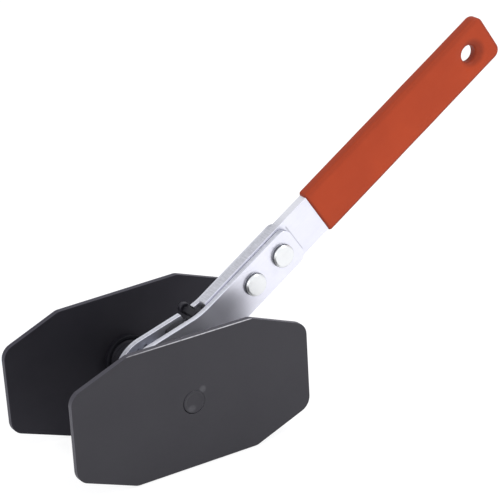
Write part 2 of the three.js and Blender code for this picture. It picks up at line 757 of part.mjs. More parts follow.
addPiece(handle, 'detent_plunger', detentPlunger(), 'spring');
addPiece(handle, 'detent_spring', detentSpring(), 'spring');

export default tool;
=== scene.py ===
"""A ratcheting brake piston spreader: two pressure plates on screws, a ratchet barrel and a handle.

Shapes are drawn in millimetres about the middle of the head (HEAD in the frame) and every mesh
is written in metres. The screws run along y: the far side is +y and the near side is -y.
Head and handle pieces are drawn in the handle's own axes (x along the handle, y along the
screws, z across the handle) and turned into the frame by HANDLE.
"""

import math
import random

import bmesh
import bpy
import numpy as np
from mathutils import Matrix, Vector, noise
from mathutils.geometry import delaunay_2d_cdt


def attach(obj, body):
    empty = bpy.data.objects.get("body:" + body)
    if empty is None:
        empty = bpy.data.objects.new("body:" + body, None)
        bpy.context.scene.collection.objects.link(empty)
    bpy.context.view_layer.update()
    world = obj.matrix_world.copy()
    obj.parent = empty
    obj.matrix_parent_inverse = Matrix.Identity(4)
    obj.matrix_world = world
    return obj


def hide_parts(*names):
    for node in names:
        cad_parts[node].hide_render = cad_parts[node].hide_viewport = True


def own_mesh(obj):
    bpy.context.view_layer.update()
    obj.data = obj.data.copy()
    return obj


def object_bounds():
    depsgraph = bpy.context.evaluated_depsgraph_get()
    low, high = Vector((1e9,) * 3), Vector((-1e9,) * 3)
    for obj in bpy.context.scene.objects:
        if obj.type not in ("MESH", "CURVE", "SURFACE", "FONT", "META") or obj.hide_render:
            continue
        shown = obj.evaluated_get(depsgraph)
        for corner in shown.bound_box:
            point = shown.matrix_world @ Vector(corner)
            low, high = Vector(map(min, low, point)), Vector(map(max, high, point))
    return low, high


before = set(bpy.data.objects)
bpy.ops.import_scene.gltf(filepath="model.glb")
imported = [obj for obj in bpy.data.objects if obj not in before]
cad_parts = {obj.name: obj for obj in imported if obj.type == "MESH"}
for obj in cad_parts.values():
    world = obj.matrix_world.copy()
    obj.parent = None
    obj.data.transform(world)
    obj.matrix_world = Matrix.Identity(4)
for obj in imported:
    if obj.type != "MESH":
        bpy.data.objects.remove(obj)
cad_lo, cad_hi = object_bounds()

random.seed(7)  # fixes any random draw made during the build
MM = 0.001
DEG = math.pi / 180

HEAD = Vector((0.0, 30.8, 31.2))
ANGLE = 32.83 * DEG                 # rise of the handle from +x towards +z
COS, SIN = math.cos(ANGLE), math.sin(ANGLE)
HANDLE = Matrix(((COS, 0, -SIN, 0), (0, 1, 0, 0), (SIN, 0, COS, 0), (0, 0, 0, 1)))
FAR_TWIST = Matrix.Rotation(-0.9 * DEG, 4, "Y")
FLIP = Matrix.Rotation(math.pi, 4, "Z")  # turns a far piece into a near one
IDENTITY = Matrix.Identity(4)

# dimensions shared between sections, in millimetres
PLATE_Y0, PLATE_Y1 = 29.35, 32.25   # inner and outer face of a pressure plate
STUB_R = 5.3                        # screw end that passes through the plate
COLLAR_FACE = PLATE_Y0 - 0.05       # collar's face against the plate
COLLAR_UNDER = COLLAR_FACE - 2.4
FAR_MAJOR, NEAR_MAJOR = 9.0, 5.5    # thread radii
TEETH = 24
TOOTH_PITCH = 360 / TEETH           # degrees
RIVETS = (60.5, 78.8)               # x of the two handle rivets
RIVET_Z = 0.35
RIVET_HOLE_R = 3.5
HANG_X, HANG_R = 209.4, 4.15        # hanging hole in the grip
PIVOT = (24.5, 0.0)                 # pawl's pivot (x, z)
PIVOT_HOLE_R = 3.3

# ------------------------------------------------------------------ outline tools


def polar(radius, degrees):
    return (radius * math.cos(degrees * DEG), radius * math.sin(degrees * DEG))


def mirror(half):
    """The other half of an outline that is symmetric about z = 0 and starts on it."""
    return [(x, -z) for x, z in reversed(half[1:])]


def arc(centre, radius, start, end, count=None, step=7.5):
    """Points round a centre, in count parts or in parts of at most step degrees."""
    first = math.atan2(start.y - centre.y, start.x - centre.x)
    sweep = math.atan2(end.y - centre.y, end.x - centre.x) - first
    sweep = (sweep + math.pi) % (2 * math.pi) - math.pi
    if count is None:
        count = max(2, math.ceil(abs(sweep) / (step * DEG)))
    out = []
    for k in range(count + 1):
        turn = first + sweep * k / count
        out.append((centre.x + radius * math.cos(turn), centre.y + radius * math.sin(turn)))
    return out


def rounded(corners, step=7.5):
    """Corners (x, z, radius) joined by straight edges, each corner rounded."""
    out = []
    total = len(corners)
    for i in range(total):
        before, corner, after = (Vector(corners[k % total][:2]) for k in (i - 1, i, i + 1))
        radius = corners[i][2]
        if not radius:
            out.append((corner.x, corner.y))
            continue
        back = (before - corner).normalized()
        ahead = (after - corner).normalized()
        half = math.acos(max(-1, min(1, back.dot(ahead)))) / 2
        tangent = radius / math.tan(half)
        centre = corner + (back + ahead).normalized() * (radius / math.sin(half))
        out += arc(centre, radius, corner + back * tangent, corner + ahead * tangent, step=step)
    return out


def circle(x, z, radius, sides=64, wobble=0.0, seed=0.0):
    out = []
    for k in range(sides):
        turn = 2 * math.pi * k / sides
        where = Vector((2 * math.cos(turn), 2 * math.sin(turn), seed))
        reach = radius + wobble * noise.noise(where)
        out.append((x + reach * math.cos(turn), z + reach * math.sin(turn)))
    return out


def tidy(loop, longest, least=0.02):
    """Drops doubled points and splits long edges."""
    kept = []
    for point in map(Vector, loop):
        if not kept or (point - kept[-1]).length > least:
            kept.append(point)
    if (kept[0] - kept[-1]).length <= least:
        kept.pop()
    out = []
    for i, start in enumerate(kept):
        end = kept[(i + 1) % len(kept)]
        parts = max(1, math.ceil((end - start).length / longest))
        out += [start.lerp(end, k / parts) for k in range(parts)]
    return out


def area(loop):
    return 0.5 * sum(
        loop[i].x * loop[(i + 1) % len(loop)].y - loop[(i + 1) % len(loop)].x * loop[i].y
        for i in range(len(loop))
    )


def inset(loop, distance):
    """Moves a loop to its left, into the material of an anticlockwise outline."""
    out = []
    for i in range(len(loop)):
        arriving = (loop[i] - loop[i - 1]).normalized()
        leaving = (loop[(i + 1) % len(loop)] - loop[i]).normalized()
        normal = Vector((-arriving.y, arriving.x))
        middle = normal + Vector((-leaving.y, leaving.x))
        middle = middle.normalized() if middle.length > 1e-6 else normal
        out.append(loop[i] + middle * (distance / max(0.35, middle.dot(normal))))
    return out


def inside(point, loop):
    x, y = point
    hit = False
    for i in range(len(loop)):
        a, b = loop[i], loop[i - 1]
        if (a.y > y) != (b.y > y) and x < (b.x - a.x) * (y - a.y) / (b.y - a.y) + a.x:
            hit = not hit
    return hit


def in_material(point, loops):
    """Inside the first loop and outside the others."""
    return inside(point, loops[0]) and not any(inside(point, hole) for hole in loops[1:])


def inner_points(rim, loops, spacing):
    """A staggered grid over the material, kept clear of the rim points."""
    rim = np.array(rim)
    low, high = rim.min(0), rim.max(0)
    out = []
    row = 0
    y = low[1] + spacing * 0.6
    while y < high[1]:
        x = low[0] + spacing * (0.5 if row % 2 else 1.0)
        while x < high[0]:
            if np.min(np.hypot(rim[:, 0] - x, rim[:, 1] - y)) > spacing * 0.62:
                if in_material((x, y), loops):
                    out.append((x, y))
            x += spacing
        y += spacing * 0.866
        row += 1
    return out


def cap_faces(loops, spacing):
    """Fills the first loop less the others: the added inner points, and the triangles."""
    points, edges = [], []
    for loop in loops:
        base = len(points)
        points += [tuple(p) for p in loop]
        edges += [(base + i, base + (i + 1) % len(loop)) for i in range(len(loop))]
    added = inner_points(points, loops, spacing) if spacing else []
    verts, _, faces, origin, _, _ = delaunay_2d_cdt(
        [Vector(p) for p in points + added], edges, [], 1, 1e-7)
    if not all(origin):
        raise ValueError("an outline crosses itself")
    index = [min(sources) for sources in origin]
    good = []
    for face in faces:
        middle = sum((verts[k] for k in face), Vector((0, 0))) / len(face)
        if in_material(middle, loops):
            good.append([index[k] for k in face])
    return added, good


# ------------------------------------------------------------------ solid tools


def bridge(lower, upper):
    """Faces between two rings of vertex numbers; either may be a single point."""
    faces = []
    if len(lower) == 1 and len(upper) == 1:
        return faces
    count = max(len(lower), len(upper))
    for i in range(count):
        j = (i + 1) % count
        if len(lower) == 1:
            faces.append((lower[0], upper[i], upper[j]))
        elif len(upper) == 1:
            faces.append((lower[i], upper[0], lower[j]))
        else:
            faces.append((lower[i], upper[i], upper[j], lower[j]))
    return faces


def push(verts, ring):
    """Appends a ring's points and gives their numbers."""
    base = len(verts)
    verts.extend(tuple(p) for p in ring)
    return list(range(base, base + len(ring)))


def slab(outline, holes, y0, y1, edge=0.25, segments=3, spacing=0, longest=2.0, hole_edge=None,
         shape=None):
    """A plate from y0 to y1 with rounded edges; shape(x, y, z) may move its points."""
    outer = tidy(outline, longest)
    if area(outer) < 0:
        outer.reverse()
    loops = [(outer, edge)]
    for hole in holes:
        loop = tidy(hole, longest)
        if area(loop) > 0:
            loop.reverse()
        loops.append((loop, edge if hole_edge is None else hole_edge))
    verts, faces = [], []
    steps = [90 * k / segments * DEG for k in range(segments + 1)]
    cap_low, cap_high = [], []
    for loop, radius in loops:
        # from the low face round to the side, then from the side to the high face
        stations = [(t, y0 + radius * (1 - math.cos(t))) for t in steps]
        stations += [(t, y1 - radius * (1 - math.cos(t))) for t in reversed(steps)]
        rings = [
            push(verts, [(p.x, y, p.y) for p in inset(loop, radius * (1 - math.sin(t)))])
            for t, y in stations
        ]
        for low, high in zip(rings[:-1], rings[1:]):
            for i in range(len(loop)):
                j = (i + 1) % len(loop)
                faces.append((low[i], low[j], high[j], high[i]))
        cap_low.append(rings[0])
        cap_high.append(rings[-1])
    for rings, y, is_high in ((cap_low, y0, False), (cap_high, y1, True)):
        flat = [[Vector((verts[k][0], verts[k][2])) for k in ring] for ring in rings]
        added, triangles = cap_faces(flat, spacing)
        numbers = [k for ring in rings for k in ring]
        numbers += push(verts, [(p[0], y, p[1]) for p in added])
        for triangle in triangles:
            face = [numbers[k] for k in triangle]
            faces.append(tuple(face) if is_high else tuple(reversed(face)))
    if shape:
        verts = [shape(*p) for p in verts]
    return verts, faces


def stack(rings, closed=False):
    """Skin through rings of equal point count; a single point closes an end."""
    verts, faces = [], []
    numbers = [push(verts, ring) for ring in rings]
    pairs = list(zip(numbers[:-1], numbers[1:]))
    if closed:
        pairs.append((numbers[-1], numbers[0]))
    for lower, upper in pairs:
        faces += bridge(lower, upper)
    return verts, faces


def lathe_rings(profile, sides, centre_x=0.0, centre_z=0.0, axis="y"):
    """Rings of a (radius, height) profile turned about a line along y, or along x."""
    rings = []
    for radius, y in profile:
        if radius < 1e-6:
            ring = [(0.0, y, 0.0)]
        else:
            turns = [2 * math.pi * k / sides for k in range(sides)]
            ring = [(radius * math.cos(t), y, -radius * math.sin(t)) for t in turns]
        if axis == "x":
            ring = [(p[1], p[0], p[2]) for p in ring]
        rings.append([(p[0] + centre_x, p[1], p[2] + centre_z) for p in ring])
    return rings


def soften(profile, closed=False, steps=4):
    """Rounds each corner of a (radius, y) profile by 0.2, or by the point's third number."""
    last = len(profile) - 1
    out = []
    for i, station in enumerate(profile):
        corner = Vector(station[:2])
        if not closed and i in (0, last):
            out.append(tuple(corner))
            continue
        wanted = station[2] if len(station) > 2 else 0.2
        back = Vector(profile[i - 1][:2]) - corner
        ahead = Vector(profile[(i + 1) % len(profile)][:2]) - corner
        half = back.angle(ahead) / 2
        if half > 88 * DEG:
            out.append(tuple(corner))
            continue
        tangent = min(wanted / math.tan(half), back.length * 0.48, ahead.length * 0.48)
        radius = tangent * math.tan(half)
        back.normalize()
        ahead.normalize()
        centre = corner + (back + ahead).normalized() * (radius / math.sin(half))
        out += arc(centre, radius, corner + back * tangent, corner + ahead * tangent, steps)
    return out


# ------------------------------------------------------------------ objects


def shade(obj, angle=35.0):
    for face in obj.data.polygons:
        face.use_smooth = True
    obj.data.set_sharp_from_angle(angle=angle * DEG)


def add(name, geometry, matrix=IDENTITY, smooth=35.0):
    verts, faces = geometry
    mesh = bpy.data.meshes.new(name)
    mesh.from_pydata([tuple((matrix @ Vector(v) + HEAD) * MM) for v in verts], [], faces)
    mesh.validate()
    bm = bmesh.new()
    bm.from_mesh(mesh)
    bmesh.ops.remove_doubles(bm, verts=bm.verts, dist=1e-6)
    bmesh.ops.dissolve_degenerate(bm, edges=bm.edges, dist=5e-7)
    bmesh.ops.recalc_face_normals(bm, faces=bm.faces)
    bm.to_mesh(mesh)
    bm.free()
    obj = bpy.data.objects.new(name, mesh)
    bpy.context.scene.collection.objects.link(obj)
    shade(obj, smooth)
    return obj


def combine(obj, tool, operation="DIFFERENCE"):
    """Boolean by modifier, applied, with the tool removed."""
    modifier = obj.modifiers.new("cut", "BOOLEAN")
    modifier.operation = operation
    modifier.solver = "EXACT"
    modifier.object = tool
    bpy.context.view_layer.update()
    depsgraph = bpy.context.evaluated_depsgraph_get()
    mesh = bpy.data.meshes.new_from_object(obj.evaluated_get(depsgraph))
    old = obj.data
    obj.modifiers.remove(modifier)
    obj.data = mesh
    mesh.name = obj.name
    bpy.data.meshes.remove(old)
    bpy.data.objects.remove(tool)
    bm = bmesh.new()
    bm.from_mesh(mesh)
    bmesh.ops.remove_doubles(bm, verts=bm.verts, dist=2e-7)
    bmesh.ops.dissolve_degenerate(bm, edges=bm.edges, dist=2e-7)
    bm.to_mesh(mesh)
    bm.free()
    shade(obj)


def weigh(obj):
    modifier = obj.modifiers.new("weighted", "WEIGHTED_NORMAL")
    modifier.mode = "FACE_AREA"
    modifier.weight = 60
    modifier.keep_sharp = True


def place(obj, body, node, material):
    """Ties a piece to its moving body, the CAD piece it replaces and its material."""
    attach(obj, body)
    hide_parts(node)
    obj.data.materials.clear()
    obj.data.materials.append(material)


# ------------------------------------------------------------------ material tools


class Nodes:
    """Short-hand for a node tree."""

    def __init__(self, name):
        self.material = bpy.data.materials.new(name)
        self.material.use_nodes = True
        self.tree = self.material.node_tree
        self.tree.nodes.clear()
        self.out = self.new("ShaderNodeOutputMaterial")
        self.bsdf = self.new("ShaderNodeBsdfPrincipled")
        self.link(self.bsdf.outputs[0], self.out.inputs[0])
        self.normal = None

    def new(self, kind, **settings):
        node = self.tree.nodes.new(kind)
        for key, value in settings.items():
            setattr(node, key, value)
        return node

    def link(self, output, socket):
        self.tree.links.new(output, socket)

    def put(self, socket, value):
        if isinstance(value, bpy.types.NodeSocket):
            self.link(value, socket)
        else:
            socket.default_value = value

    def coords(self, axes="world", scale=(1, 1, 1)):
        """Millimetres from the middle of the head, in frame or handle axes, times scale."""
        texture = self.new("ShaderNodeTexCoord")
        shift = self.new("ShaderNodeVectorMath", operation="SUBTRACT")
        self.link(texture.outputs["Object"], shift.inputs[0])
        shift.inputs[1].default_value = tuple(HEAD * MM)
        source = shift.outputs[0]
        if axes == "handle":
            turn = self.new("ShaderNodeVectorRotate", rotation_type="Y_AXIS")
            self.link(source, turn.inputs["Vector"])
            turn.inputs["Angle"].default_value = ANGLE
            source = turn.outputs[0]
        scaled = self.new("ShaderNodeVectorMath", operation="MULTIPLY")
        self.link(source, scaled.inputs[0])
        scaled.inputs[1].default_value = tuple(1000 * s for s in scale)
        return scaled.outputs[0]

    def split(self, vector):
        node = self.new("ShaderNodeSeparateXYZ")
        self.link(vector, node.inputs[0])
        return node.outputs

    def distance(self, vector, point):
        node = self.new("ShaderNodeVectorMath", operation="DISTANCE")
        self.link(vector, node.inputs[0])
        node.inputs[1].default_value = point
        return node.outputs["Value"]

    def noise(self, vector, scale=1.0, detail=3.0, rough=0.55):
        node = self.new("ShaderNodeTexNoise")
        self.link(vector, node.inputs["Vector"])
        node.inputs["Scale"].default_value = scale
        node.inputs["Detail"].default_value = detail
        node.inputs["Roughness"].default_value = rough
        return node.outputs["Fac"]

    def voronoi(self, vector, scale):
        node = self.new("ShaderNodeTexVoronoi")
        self.link(vector, node.inputs["Vector"])
        node.inputs["Scale"].default_value = scale
        return node.outputs["Distance"]

    def remap(self, value, span, to=(0.0, 1.0), smooth=False):
        node = self.new("ShaderNodeMapRange")
        if smooth:
            node.interpolation_type = "SMOOTHSTEP"
        self.put(node.inputs["Value"], value)
        for key, number in zip(("From Min", "From Max", "To Min", "To Max"), (*span, *to)):
            node.inputs[key].default_value = number
        return node.outputs["Result"]

    def math(self, operation, a, b=0.0, clamp=False):
        node = self.new("ShaderNodeMath", operation=operation, use_clamp=clamp)
        self.put(node.inputs[0], a)
        self.put(node.inputs[1], b)
        return node.outputs[0]

    def times(self, a, b):
        return self.math("MULTIPLY", a, b)

    def mix(self, factor, a, b):
        node = self.new("ShaderNodeMix", data_type="RGBA", blend_type="MIX")
        self.put(node.inputs["Factor"], factor)
        self.put(node.inputs[6], a)
        self.put(node.inputs[7], b)
        return node.outputs[2]

    def bump(self, height, strength, distance):
        """Adds a bump on top of those made before."""
        node = self.new("ShaderNodeBump")
        self.put(node.inputs["Height"], height)
        self.put(node.inputs["Strength"], strength)
        node.inputs["Distance"].default_value = distance
        if self.normal is not None:
            self.link(self.normal, node.inputs["Normal"])
        self.normal = node.outputs["Normal"]

    def face_y(self):
        """|y| of the normal: 1 on the flats of a plate lying across y, 0 on its rim."""
        texture = self.new("ShaderNodeTexCoord")
        return self.math("ABSOLUTE", self.split(texture.outputs["Normal"])["Y"])

    def edges(self, radius, span):
        """1 near convex and concave edges."""
        bevel = self.new("ShaderNodeBevel", samples=6)
        bevel.inputs["Radius"].default_value = radius * MM
        geometry = self.new("ShaderNodeNewGeometry")
        dot = self.new("ShaderNodeVectorMath", operation="DOT_PRODUCT")
        self.link(bevel.outputs[0], dot.inputs[0])
        self.link(geometry.outputs["Normal"], dot.inputs[1])
        return self.remap(self.math("SUBTRACT", 1.0, dot.outputs["Value"]), span)

    def set(self, **values):
        for key, value in values.items():
            self.put(self.bsdf.inputs[key.replace("_", " ")], value)

    def done(self):
        if self.normal is not None:
            self.link(self.normal, self.bsdf.inputs["Normal"])
        return self.material


def rgb(red, green, blue):
    return (red, green, blue, 1.0)


def dimmed(tone, factor):
    return rgb(*(factor * c for c in tone[:3]))


# ------------------------------------------------------------------ materials


def sheet_cut(nodes, at, colour):
    """Colours the sheared rims of the cheeks and the bar by where they lie, with painted shade on
    the inner part of the cheeks' cut and along their end cut.
    """
    # the burnished part of the cut, towards the cheeks' outer faces, is brighter; the darker part
    # towards the cheeks' inner faces is painted shade
    burnish_and_shade = nodes.remap(nodes.math("ABSOLUTE", at["Y"]), span=(3.9, 5.2))
    colour = nodes.mix(nodes.times(burnish_and_shade, 0.55), colour, rgb(0.86, 0.87, 0.92))
    # painted shade: a dark line along the cheeks' end cut
    end_cut_shade = nodes.times(nodes.remap(at["X"], span=(82.0, 87.0)),
                          nodes.remap(nodes.math("ABSOLUTE", at["Y"]), span=(2.4, 2.6)))
    colour = nodes.mix(nodes.times(end_cut_shade, 0.7), colour, rgb(0.30, 0.31, 0.35))
    # the bar's own edges are lighter past the cheeks
    lighter_past_cheeks = nodes.times(nodes.remap(at["X"], span=(84.0, 92.0)),
                        nodes.remap(nodes.math("ABSOLUTE", at["Y"]), span=(2.6, 2.4)))
    return nodes.mix(nodes.times(lighter_past_cheeks, 0.8), colour, rgb(0.90, 0.90, 0.93))


def painted_shadow_line(nodes, at, colour):
    """A painted shadow: a thin dark line on the bar where each cheek ends."""
    line = nodes.times(nodes.remap(at["X"], span=(88.5, 88.7)),
                       nodes.remap(at["X"], span=(89.5, 89.3)))
    line = nodes.times(line, nodes.remap(nodes.math("ABSOLUTE", at["Z"]), span=(8.4, 7.2)))
    line = nodes.times(line, nodes.remap(nodes.math("ABSOLUTE", at["Y"]), span=(3.2, 2.8)))
    return nodes.mix(nodes.times(line, 0.50), colour, rgb(0.30, 0.30, 0.34))


def zinc(name, tone, rim_tone_and_shade, sheet):
    """Bright zinc: cloudy hue and faint rolling lines; a sheet also has worn, sheared rims. On a
    rivet the dark rim colour is painted shade on the heads' side walls.
    """
    nodes = Nodes(name)
    here = nodes.coords("handle")
    cloud = nodes.noise(here, scale=0.045, detail=4, rough=0.6)
    fine = nodes.noise(here, scale=1.4, detail=4, rough=0.6)
    rolled = nodes.noise(nodes.coords("handle", (0.035, 0.6, 1.3)), detail=5, rough=0.65)
    colour = nodes.mix(nodes.remap(cloud, span=(0.35, 0.65)), dimmed(tone, 0.93), rgb(*tone))
    lines = nodes.remap(rolled, span=(0.5, 0.75), to=(0.0, 0.12))
    colour = nodes.mix(lines, colour, dimmed(tone, 0.74))
    # small cloudy water marks
    spots = nodes.voronoi(here, scale=0.11)
    mark = nodes.times(nodes.remap(spots, span=(0.10, 0.34), to=(0.16, 0.0)),
                       nodes.remap(nodes.noise(here, scale=0.3), span=(0.4, 0.6)))
    colour = nodes.mix(mark, colour, dimmed(tone, 0.82))
    # sheared rim on a sheet; on a rivet, painted shade on the heads' side walls
    rim = nodes.remap(nodes.face_y(), span=(0.72, 0.35))
    shear = nodes.noise(nodes.coords("handle", (1.5, 0.12, 1.5)), detail=4, rough=0.75)
    tear = nodes.noise(nodes.coords("handle", (0.45, 0.9, 0.45)), detail=4, rough=0.7)
    rim_cut_and_shade = nodes.mix(nodes.remap(shear, span=(0.35, 0.70)),
                         rgb(*rim_tone_and_shade), dimmed(rim_tone_and_shade, 0.74))
    rim_cut_and_shade = nodes.mix(nodes.remap(tear, span=(0.45, 0.72), to=(0.0, 0.5)),
                         rim_cut_and_shade, dimmed(rim_tone_and_shade, 0.66))
    if sheet:
        at = nodes.split(here)
        rim_cut_and_shade = sheet_cut(nodes, at, rim_cut_and_shade)
    colour = nodes.mix(rim, colour, rim_cut_and_shade)
    if sheet:
        # painted shadow line where each cheek ends
        colour = painted_shadow_line(nodes, at, colour)
    rough = nodes.remap(fine, span=(0.2, 0.8), to=(0.27, 0.35))
    rough = nodes.math("ADD", rough, nodes.remap(rolled, span=(0.4, 0.8), to=(0.0, 0.06)))
    rough = nodes.math("ADD", rough, nodes.times(rim, 0.14))
    if sheet:
        wear = nodes.edges(radius=0.22, span=(0.03, 0.25))
        colour = nodes.mix(nodes.times(wear, 0.3), colour, rgb(0.92, 0.92, 0.94))
        nodes.bump(rolled, strength=0.05, distance=0.00002)
        nodes.bump(nodes.times(shear, rim), strength=0.7, distance=0.00010)
    nodes.bump(fine, strength=0.02, distance=0.00002)
    nodes.set(Base_Color=colour, Metallic=0.90, Roughness=rough)
    return nodes.done()


def rubbed_edge_and_highlight(nodes, here, amount):
    """Where the long top edge of the outer face is rubbed to bright steel; its strength, growing
    towards +x, is a painted highlight.
    """
    at = nodes.split(here)
    corner = nodes.times(nodes.remap(at["Z"], span=(30.80, 30.92)),
                         nodes.remap(nodes.math("ABSOLUTE", at["Y"]), span=(31.82, 31.94)))
    rub_and_highlight = nodes.times(corner, nodes.remap(at["X"], span=(-38.0, 2.0), to=(0.35, 1.0)))
    patchy = nodes.noise(here, scale=0.35, detail=4, rough=0.7)
    rub_and_highlight = nodes.times(rub_and_highlight, nodes.remap(patchy, span=(0.30, 0.50), to=(0.55, 1.0)))
    return nodes.math("MULTIPLY", rub_and_highlight, amount, clamp=True)


def painted_punch_highlights(nodes, here):
    """Two painted highlights: one on the plate beside the screw's end, where a punch bump catches
    the light, and one in the end's dish.
    """
    away = nodes.distance(nodes.coords("world", (1, 0, 1)), point=(4.6, 0.0, 5.0))
    highlight_spot = nodes.remap(away, span=(1.0, 2.1), to=(0.75, 0.0), smooth=True)
    away = nodes.distance(nodes.coords("world", (0.7, 0, 1)), point=(-0.85, 0.0, -2.9))
    second = nodes.remap(away, span=(0.7, 1.9), to=(0.62, 0.0), smooth=True)
    highlight_spot = nodes.math("MAXIMUM", highlight_spot, second)
    patchy = nodes.noise(here, scale=0.9)
    return nodes.times(highlight_spot, nodes.remap(patchy, span=(0.30, 0.55), to=(0.5, 1.0)))


def plate_paint(name, rubbing_and_highlight_amount, sheen, tint):
    """Thin semi-gloss black coating on rolled plate; its grey is the floor it mirrors."""
    nodes = Nodes(name)
    here = nodes.coords()
    cloud = nodes.noise(here, scale=0.03, detail=4)
    peel = nodes.noise(here, scale=0.8, rough=0.5)
    grit = nodes.noise(here, scale=5.0, rough=0.6)
    scuff = nodes.noise(nodes.coords("world", (0.06, 1.0, 1.1)), scale=0.9, detail=4, rough=0.7)
    colour = nodes.mix(nodes.remap(cloud, span=(0.35, 0.65)),
                       rgb(0.0125, 0.0120, 0.0150), rgb(0.0155, 0.0150, 0.0180))
    colour = nodes.mix(nodes.remap(scuff, span=(0.62, 0.82), to=(0.0, 0.30)),
                       colour, rgb(0.030, 0.029, 0.034))
    dust = nodes.remap(nodes.voronoi(here, scale=0.8), span=(0.015, 0.05), to=(0.5, 0.0))
    patches = nodes.noise(here, scale=0.2, detail=2)
    dust = nodes.times(dust, nodes.remap(patches, span=(0.5, 0.65)))
    colour = nodes.mix(dust, colour, rgb(0.05, 0.05, 0.055))
    wear = nodes.edges(radius=0.30, span=(0.03, 0.25))
    patches = nodes.noise(here, scale=0.5, detail=4, rough=0.7)
    worn = nodes.times(wear, nodes.remap(patches, span=(0.50, 0.70), to=(0.0, 0.5)))
    rub_and_highlight = rubbed_edge_and_highlight(nodes, here, rubbing_and_highlight_amount)
    rim = nodes.remap(nodes.face_y(), span=(0.8, 0.4))
    # painted highlight: the plate's edge faces are lighter and bluer than its faces
    colour = nodes.mix(nodes.times(rim, 0.6), colour, rgb(0.040, 0.037, 0.050))
    colour = nodes.mix(worn, colour, rgb(0.10, 0.10, 0.11))
    # painted highlights beside and in the screw's end
    colour = nodes.mix(painted_punch_highlights(nodes, here), colour, rgb(0.062, 0.061, 0.066))
    # painted highlight along the rubbed top edge, strongest towards +x
    colour = nodes.mix(rub_and_highlight, colour, rgb(0.74, 0.73, 0.75))
    rough = nodes.remap(peel, span=(0.3, 0.7), to=(0.40, 0.47))
    rough = nodes.math("ADD", rough, nodes.remap(scuff, span=(0.6, 0.8), to=(0.0, 0.08)))
    nodes.bump(peel, strength=0.20, distance=0.00004)
    nodes.bump(grit, strength=0.10, distance=0.00002)
    shear = nodes.noise(nodes.coords("world", (1.8, 0.15, 1.8)), rough=0.6)
    nodes.bump(nodes.times(shear, rim), strength=0.5, distance=0.00008)
    metallic = nodes.math("MAXIMUM", rub_and_highlight, nodes.times(worn, 0.4))
    nodes.set(Base_Color=colour, Metallic=metallic, Roughness=rough,
              Specular_IOR_Level=sheen, Specular_Tint=rgb(*tint))
    return nodes.done()


def black_oxide(name, rough, tone):
    """Matt black oxide on a small machined or pressed piece."""
    nodes = Nodes(name)
    here = nodes.coords("handle")
    cloud = nodes.noise(here, scale=0.35, detail=4, rough=0.6)
    fine = nodes.noise(here, scale=4.0, rough=0.6)
    colour = nodes.mix(nodes.remap(cloud, span=(0.3, 0.7)),
                       dimmed((0.006, 0.006, 0.008), tone), dimmed((0.011, 0.010, 0.014), tone))
    wear = nodes.edges(radius=0.25, span=(0.04, 0.3))
    patches = nodes.noise(here, scale=1.2)
    worn = nodes.times(wear, nodes.remap(patches, span=(0.45, 0.7), to=(0.0, 0.35)))
    colour = nodes.mix(worn, colour, rgb(0.08, 0.08, 0.09))
    nodes.bump(fine, strength=0.2, distance=0.00003)
    nodes.bump(cloud, strength=0.15, distance=0.00008)
    nodes.set(Base_Color=colour, Metallic=0.0, Specular_IOR_Level=0.28,
              Roughness=nodes.remap(fine, span=(0.3, 0.7), to=(rough, rough + 0.1)))
    return nodes.done()


def turned_steel(name, dark, light, metallic, rough, groove=1.0):
    """Lathe-turned steel with fine rings round the screw axis."""
    nodes = Nodes(name)
    here = nodes.coords()
    at = nodes.split(nodes.coords())
    squares = nodes.math("ADD", nodes.math("POWER", at["X"], 2.0),
                         nodes.math("POWER", at["Z"], 2.0))
    radius_and_y = nodes.new("ShaderNodeCombineXYZ")
    nodes.link(nodes.math("SQRT", squares), radius_and_y.inputs[0])
    nodes.link(at["Y"], radius_and_y.inputs[1])
    rings = nodes.noise(radius_and_y.outputs[0], scale=3.2, detail=4, rough=0.7)
    cloud = nodes.noise(here, scale=0.18, detail=4, rough=0.6)
    fine = nodes.noise(here, scale=3.0, rough=0.6)
    colour = nodes.mix(nodes.remap(cloud, span=(0.35, 0.65)), dark, light)
    colour = nodes.mix(nodes.remap(rings, span=(0.45, 0.8), to=(0.0, 0.3)),
                       colour, dimmed(dark, 0.55))
    wear = nodes.edges(radius=0.2, span=(0.03, 0.3))
    bright = metallic > 0.5
    lift = 0.05 if bright else 0.006
    worn_colour = rgb(*(min(1.0, 1.7 * c + lift) for c in light[:3]))
    colour = nodes.mix(nodes.times(wear, 0.6), colour, worn_colour)
    nodes.bump(rings, strength=0.35 * groove, distance=0.00003)
    nodes.bump(fine, strength=0.12, distance=0.00003)
    nodes.set(Base_Color=colour, Metallic=metallic, Specular_IOR_Level=0.5 if bright else 0.16,
              Roughness=nodes.remap(cloud, span=(0.3, 0.7), to=(rough - 0.06, rough + 0.08)))
    return nodes.done()


def painted_grip_shade(nodes, here):
    """Painted shade on the grip's long edges, its two ends and round the hanging hole."""
    at = nodes.split(here)
    edge_shade_mask = nodes.math(
        "MAXIMUM",
        nodes.remap(at["Z"], span=(8.6, 11.8), to=(0.0, 0.32), smooth=True),
        nodes.remap(at["Z"], span=(-10.3, -11.7), to=(0.0, 0.55), smooth=True))
    start = nodes.remap(at["X"], span=(106.2, 104.9), to=(0.0, 0.75))
    edge_shade_mask = nodes.math("MAXIMUM", edge_shade_mask, start)
    end = nodes.remap(at["X"], span=(221.6, 223.1), to=(0.0, 0.45))
    edge_shade_mask = nodes.math("MAXIMUM", edge_shade_mask, end)
    away = nodes.distance(nodes.coords("handle", (1, 0, 1)), point=(HANG_X + 1.6, 0.0, -0.6))
    round_hole = nodes.remap(away, span=(4.6, 8.0), to=(0.70, 0.0), smooth=True)
    edge_shade_mask = nodes.math("MAXIMUM", edge_shade_mask, round_hole)
    patchy = nodes.noise(here, scale=0.5)
    return nodes.times(edge_shade_mask, nodes.remap(patchy, span=(0.25, 0.6), to=(0.75, 1.0)))


